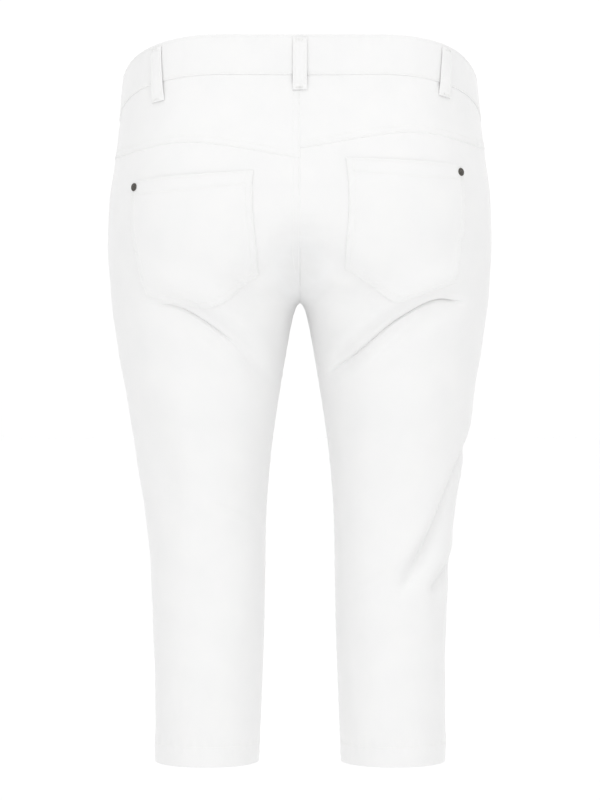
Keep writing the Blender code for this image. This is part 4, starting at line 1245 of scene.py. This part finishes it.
def fly():
    """The fly on the left front: lapped over the right front, its facing raised a little."""
    top = float(band_seam_level(-1.0)) + FLY_TUCK
    length = FLY_LENGTH - FLY_CUT
    from_top = spread(length, np.array([0.0]), FOLDED, POCKET_STEP)[::-1, None]
    share = spread(FLY_WIDTH, FOLDED, FOLDED, POCKET_STEP)[::-1] / FLY_WIDTH
    outer_edge = fly_edge(from_top)
    from_centre = -FLY_OVERLAP + (outer_edge + FLY_OVERLAP) * share
    level = top - from_top + 0 * share
    turn = -(1 - from_centre / reach(FRONT, level))
    outer = fly_face(outer_edge - from_centre)
    outer, inner = rolled(outer, outer - FLY_CLOTH - FLY_BACKING, from_centre + FLY_OVERLAP)
    rows = []
    for distance in FLY_STITCHES:
        down = np.linspace(FLY_ROW_INSET, FLY_LENGTH - distance - FLY_ROW_INSET, 200)
        centre = np.maximum(fly_edge(down + distance / 2) - distance, FLY_ROW_CLEARANCE)
        turn_row = -(1 - centre / reach(FRONT, top - down))
        offset = np.full(len(down), float(fly_face(distance)))
        rows.append(StitchRow(LEFT, turn_row, top - down, offset))
    add_cloth("fly", LEFT, turn, level, outer, inner, rows)


# ---- belt loops


def loop_length(loop):
    return BAND_HEIGHT + loop.tail - LOOP_TOP_INSET


def loop_faces(down):
    """Distances of a belt loop's outer and inner faces from the cloth, down its length."""
    seat = LOOP_SEAT + BAND_PROUD * (1 - eased((down - LOOP_STEP) / LOOP_STEP_LENGTH))
    inner = seat + LOOP_ARCH * eased(down / LOOP_RISE) * eased((1 - down) / LOOP_FALL)
    return inner + LOOP_CLOTH, inner


def loop_place(loop, line, down):
    """Turn and level on a belt loop, by shares of its width and its length."""
    middle = loop.top_turn + (loop.foot_turn - loop.top_turn) * down
    turn = middle + LOOP_WIDTH * (line - 0.5) / reach(loop.top_turn, 0.0)
    return turn, waist_level(turn) - LOOP_TOP_INSET - loop_length(loop) * down


def loop_face(loop, line, down):
    """How far a loop's outer face stands out: rounded across, and thick where it is turned in."""
    from_edge = np.minimum(line, 1 - line) * LOOP_WIDTH
    from_end = np.minimum(down, 1 - down) * loop_length(loop)
    crown = LOOP_CROWN * np.sin(math.pi * np.clip(line, 0, 1))
    turned_in = LOOP_TURNED * eased((LOOP_TURNING - from_end) / LOOP_TURNING_EASE)
    return loop_faces(down)[0] + crown + turned_in + sewn_down(from_edge, [LOOP_STITCH])


def belt_loop(loop):
    """A folded strip, tacked down at its top and its foot and bowed out between."""
    total = loop_length(loop)
    line = spread(LOOP_WIDTH, FOLDED[:-1], FOLDED[:-1], LOOP_MESH_STEP) / LOOP_WIDTH
    down = spread(total, FOLDED[:-1], FOLDED[:-1], LOOP_MESH_STEP)[::-1, None] / total
    line, down = np.broadcast_arrays(line, down)
    turn, level = loop_place(loop, line, down)
    from_edge = np.minimum(np.minimum(line, 1 - line) * LOOP_WIDTH,
                           np.minimum(down, 1 - down) * total)
    outer, inner = rolled(loop_face(loop, line, down), loop_faces(down)[1], from_edge)

    edge = LOOP_STITCH / LOOP_WIDTH
    places = [(np.full(90, line), between_ends(0.05, 90)) for line in (edge, 1 - edge)]
    for end in (TACK_INSET, total - TACK_INSET - (TACK_ROWS - 1) * TACK_STEP):
        places += [(between_ends(0.08, 40), np.full(40, (end + row * TACK_STEP) / total))
                   for row in range(TACK_ROWS)]
    rows = [StitchRow(loop.side, *loop_place(loop, *place), loop_face(loop, *place))
            for place in places]
    add_cloth(loop.name, loop.side, turn, level, outer, inner, rows)


# ---- metal

# Turned profiles as (radius, height), in shares of the piece's radius.
RIVET_PROFILE = [(0, -0.1), (0.94, -0.1), (0.99, 0.02), (1.0, 0.14), (0.97, 0.24), (0.90, 0.31),
                 (0.80, 0.35), (0.70, 0.34), (0.62, 0.29), (0.56, 0.25), (0.50, 0.26),
                 (0.44, 0.33), (0.36, 0.42), (0.26, 0.48), (0.14, 0.51), (0, 0.52)]
BUTTON_PROFILE = [(0, -0.12), (0.42, -0.12), (0.42, 0.08), (0.80, 0.09), (0.93, 0.11),
                  (0.985, 0.17), (1.0, 0.24), (0.985, 0.31), (0.94, 0.37), (0.87, 0.405),
                  (0.79, 0.40), (0.73, 0.36), (0.68, 0.315), (0.60, 0.30), (0.40, 0.315),
                  (0.30, 0.325), (0.26, 0.36), (0.20, 0.40), (0.10, 0.42), (0, 0.425)]
TURNED_STEPS = 48


def add_turned(name, profile, size, side, turn, level, lift):
    """A round piece turned from a profile about the cloth's normal."""
    base, out = on_cloth(side, np.array([turn]), np.array([level]), lift)
    out = Vector(out[0])
    placed = Matrix.Translation(Vector(base[0])) @ out.to_track_quat("Z", "Y").to_matrix().to_4x4()
    rings = profile[1:-1]
    angles = np.linspace(0, math.tau, TURNED_STEPS, endpoint=False)
    points = [(0, 0, profile[0][1] * size), (0, 0, profile[-1][1] * size)]
    for radius, height in rings:
        points += [(radius * size * math.cos(a), radius * size * math.sin(a), height * size)
                   for a in angles]
    at = 2 + np.arange(len(rings) * TURNED_STEPS).reshape(len(rings), TURNED_STEPS)
    after = np.roll(at, -1, axis=1)
    quads = np.stack([at[:-1], after[:-1], after[1:], at[1:]], axis=2).reshape(-1, 4)
    ends = np.concatenate([
        np.stack([np.zeros(TURNED_STEPS, int), after[0], at[0]], axis=1),
        np.stack([np.ones(TURNED_STEPS, int), at[-1], after[-1]], axis=1),
    ])
    world = [tuple(placed @ Vector(p)) for p in points]
    settle(add_mesh(name + "_metal", world, [quads, ends], GUNMETAL), "gunmetal", name)


# ---- the garment


def dress():
    for side in (LEFT, RIGHT):
        for face in (BACK, FRONT):
            leg_panel(side, face)
        yoke(side)
        waistband(side)
    for pocket in POCKETS:
        back_pocket(pocket)
    fly()
    for loop in BELT_LOOPS:
        belt_loop(loop)
    for place in RIVETS:
        turn = place.across / float(reach(1.0, place.level))
        add_turned("rivet_" + SIDE_NAMES[place.side], RIVET_PROFILE, RIVET_RADIUS, place.side,
                   turn, place.level, RIVET_LIFT)
    middle = float(waist_level(-1.0)) - BAND_HEIGHT / 2
    add_turned("button", BUTTON_PROFILE, BUTTON_RADIUS, LEFT, BUTTON_TURN, middle, BUTTON_LIFT)


dress()

# ---- floor, light and camera


def floor_material():
    """A pale floor, bright enough to run into the white room without an edge."""
    finish = {"Base Color": (0.72, 0.72, 0.72, 1), "Roughness": 0.9, "Specular IOR Level": 0.1,
              "Emission Color": (1, 1, 1, 1), "Emission Strength": 0.20}
    return new_material("pale_floor", finish)[0]


def add_floor():
    angles = np.linspace(0, math.tau, FLOOR_SIDES, endpoint=False)
    points = np.stack([FLOOR_RADIUS * np.cos(angles), FLOOR_RADIUS * np.sin(angles),
                       np.full(FLOOR_SIDES, FLOOR_LEVEL)], axis=1)
    face = np.arange(FLOOR_SIDES)[None, :]
    floor = add_mesh("floor", points, [face], floor_material())


def add_softbox(softbox):
    """A square area light aimed at the middle of the garment."""
    light = bpy.data.lights.new(softbox.name, "AREA")
    light.shape = "SQUARE"
    light.size = softbox.size
    light.energy = softbox.power
    lamp = bpy.data.objects.new(softbox.name, light)
    lamp.location = softbox.place
    aim = Vector((0, 0, CAMERA_LEVEL)) - lamp.location
    lamp.rotation_euler = aim.to_track_quat("-Z", "Y").to_euler()
    bpy.context.scene.collection.objects.link(lamp)


def add_daylight():
    """A white room, brighter overhead and a little dimmer to the garment's two sides."""
    world = bpy.data.worlds.new("white_room")
    world.use_nodes = True
    tree = world.node_tree
    heading = put(tree, "TexCoord", {}).outputs["Generated"]
    across, _, up = put(tree, "SeparateXYZ", {0: heading}).outputs
    dimming = maths(tree, "MULTIPLY", maths(tree, "MULTIPLY", across, across), DAYLIGHT_DIMMING)
    overhead = maths(tree, "ADD", maths(tree, "MULTIPLY", up, DAYLIGHT_OVERHEAD), DAYLIGHT)
    strength = maths(tree, "SUBTRACT", overhead, dimming)
    plug(tree, tree.nodes["Background"], {"Color": (1, 1, 1, 1), "Strength": strength})
    bpy.context.scene.world = world


def add_camera():
    camera = bpy.data.cameras.new("camera")
    camera.sensor_fit = "VERTICAL"
    camera.sensor_height = 24.0
    camera.lens = camera.sensor_height * CAMERA_DISTANCE / FRAME_HEIGHT
    stand = bpy.data.objects.new("camera", camera)
    stand.location = (0, CAMERA_DISTANCE, CAMERA_LEVEL)
    stand.rotation_euler = (math.pi / 2, 0, math.pi)
    bpy.context.scene.collection.objects.link(stand)
    bpy.context.scene.camera = stand


add_floor()
add_daylight()
for softbox in SOFTBOXES:
    add_softbox(softbox)
add_camera()
bpy.context.scene.view_settings.view_transform = "Standard"

bpy.context.view_layer.update()
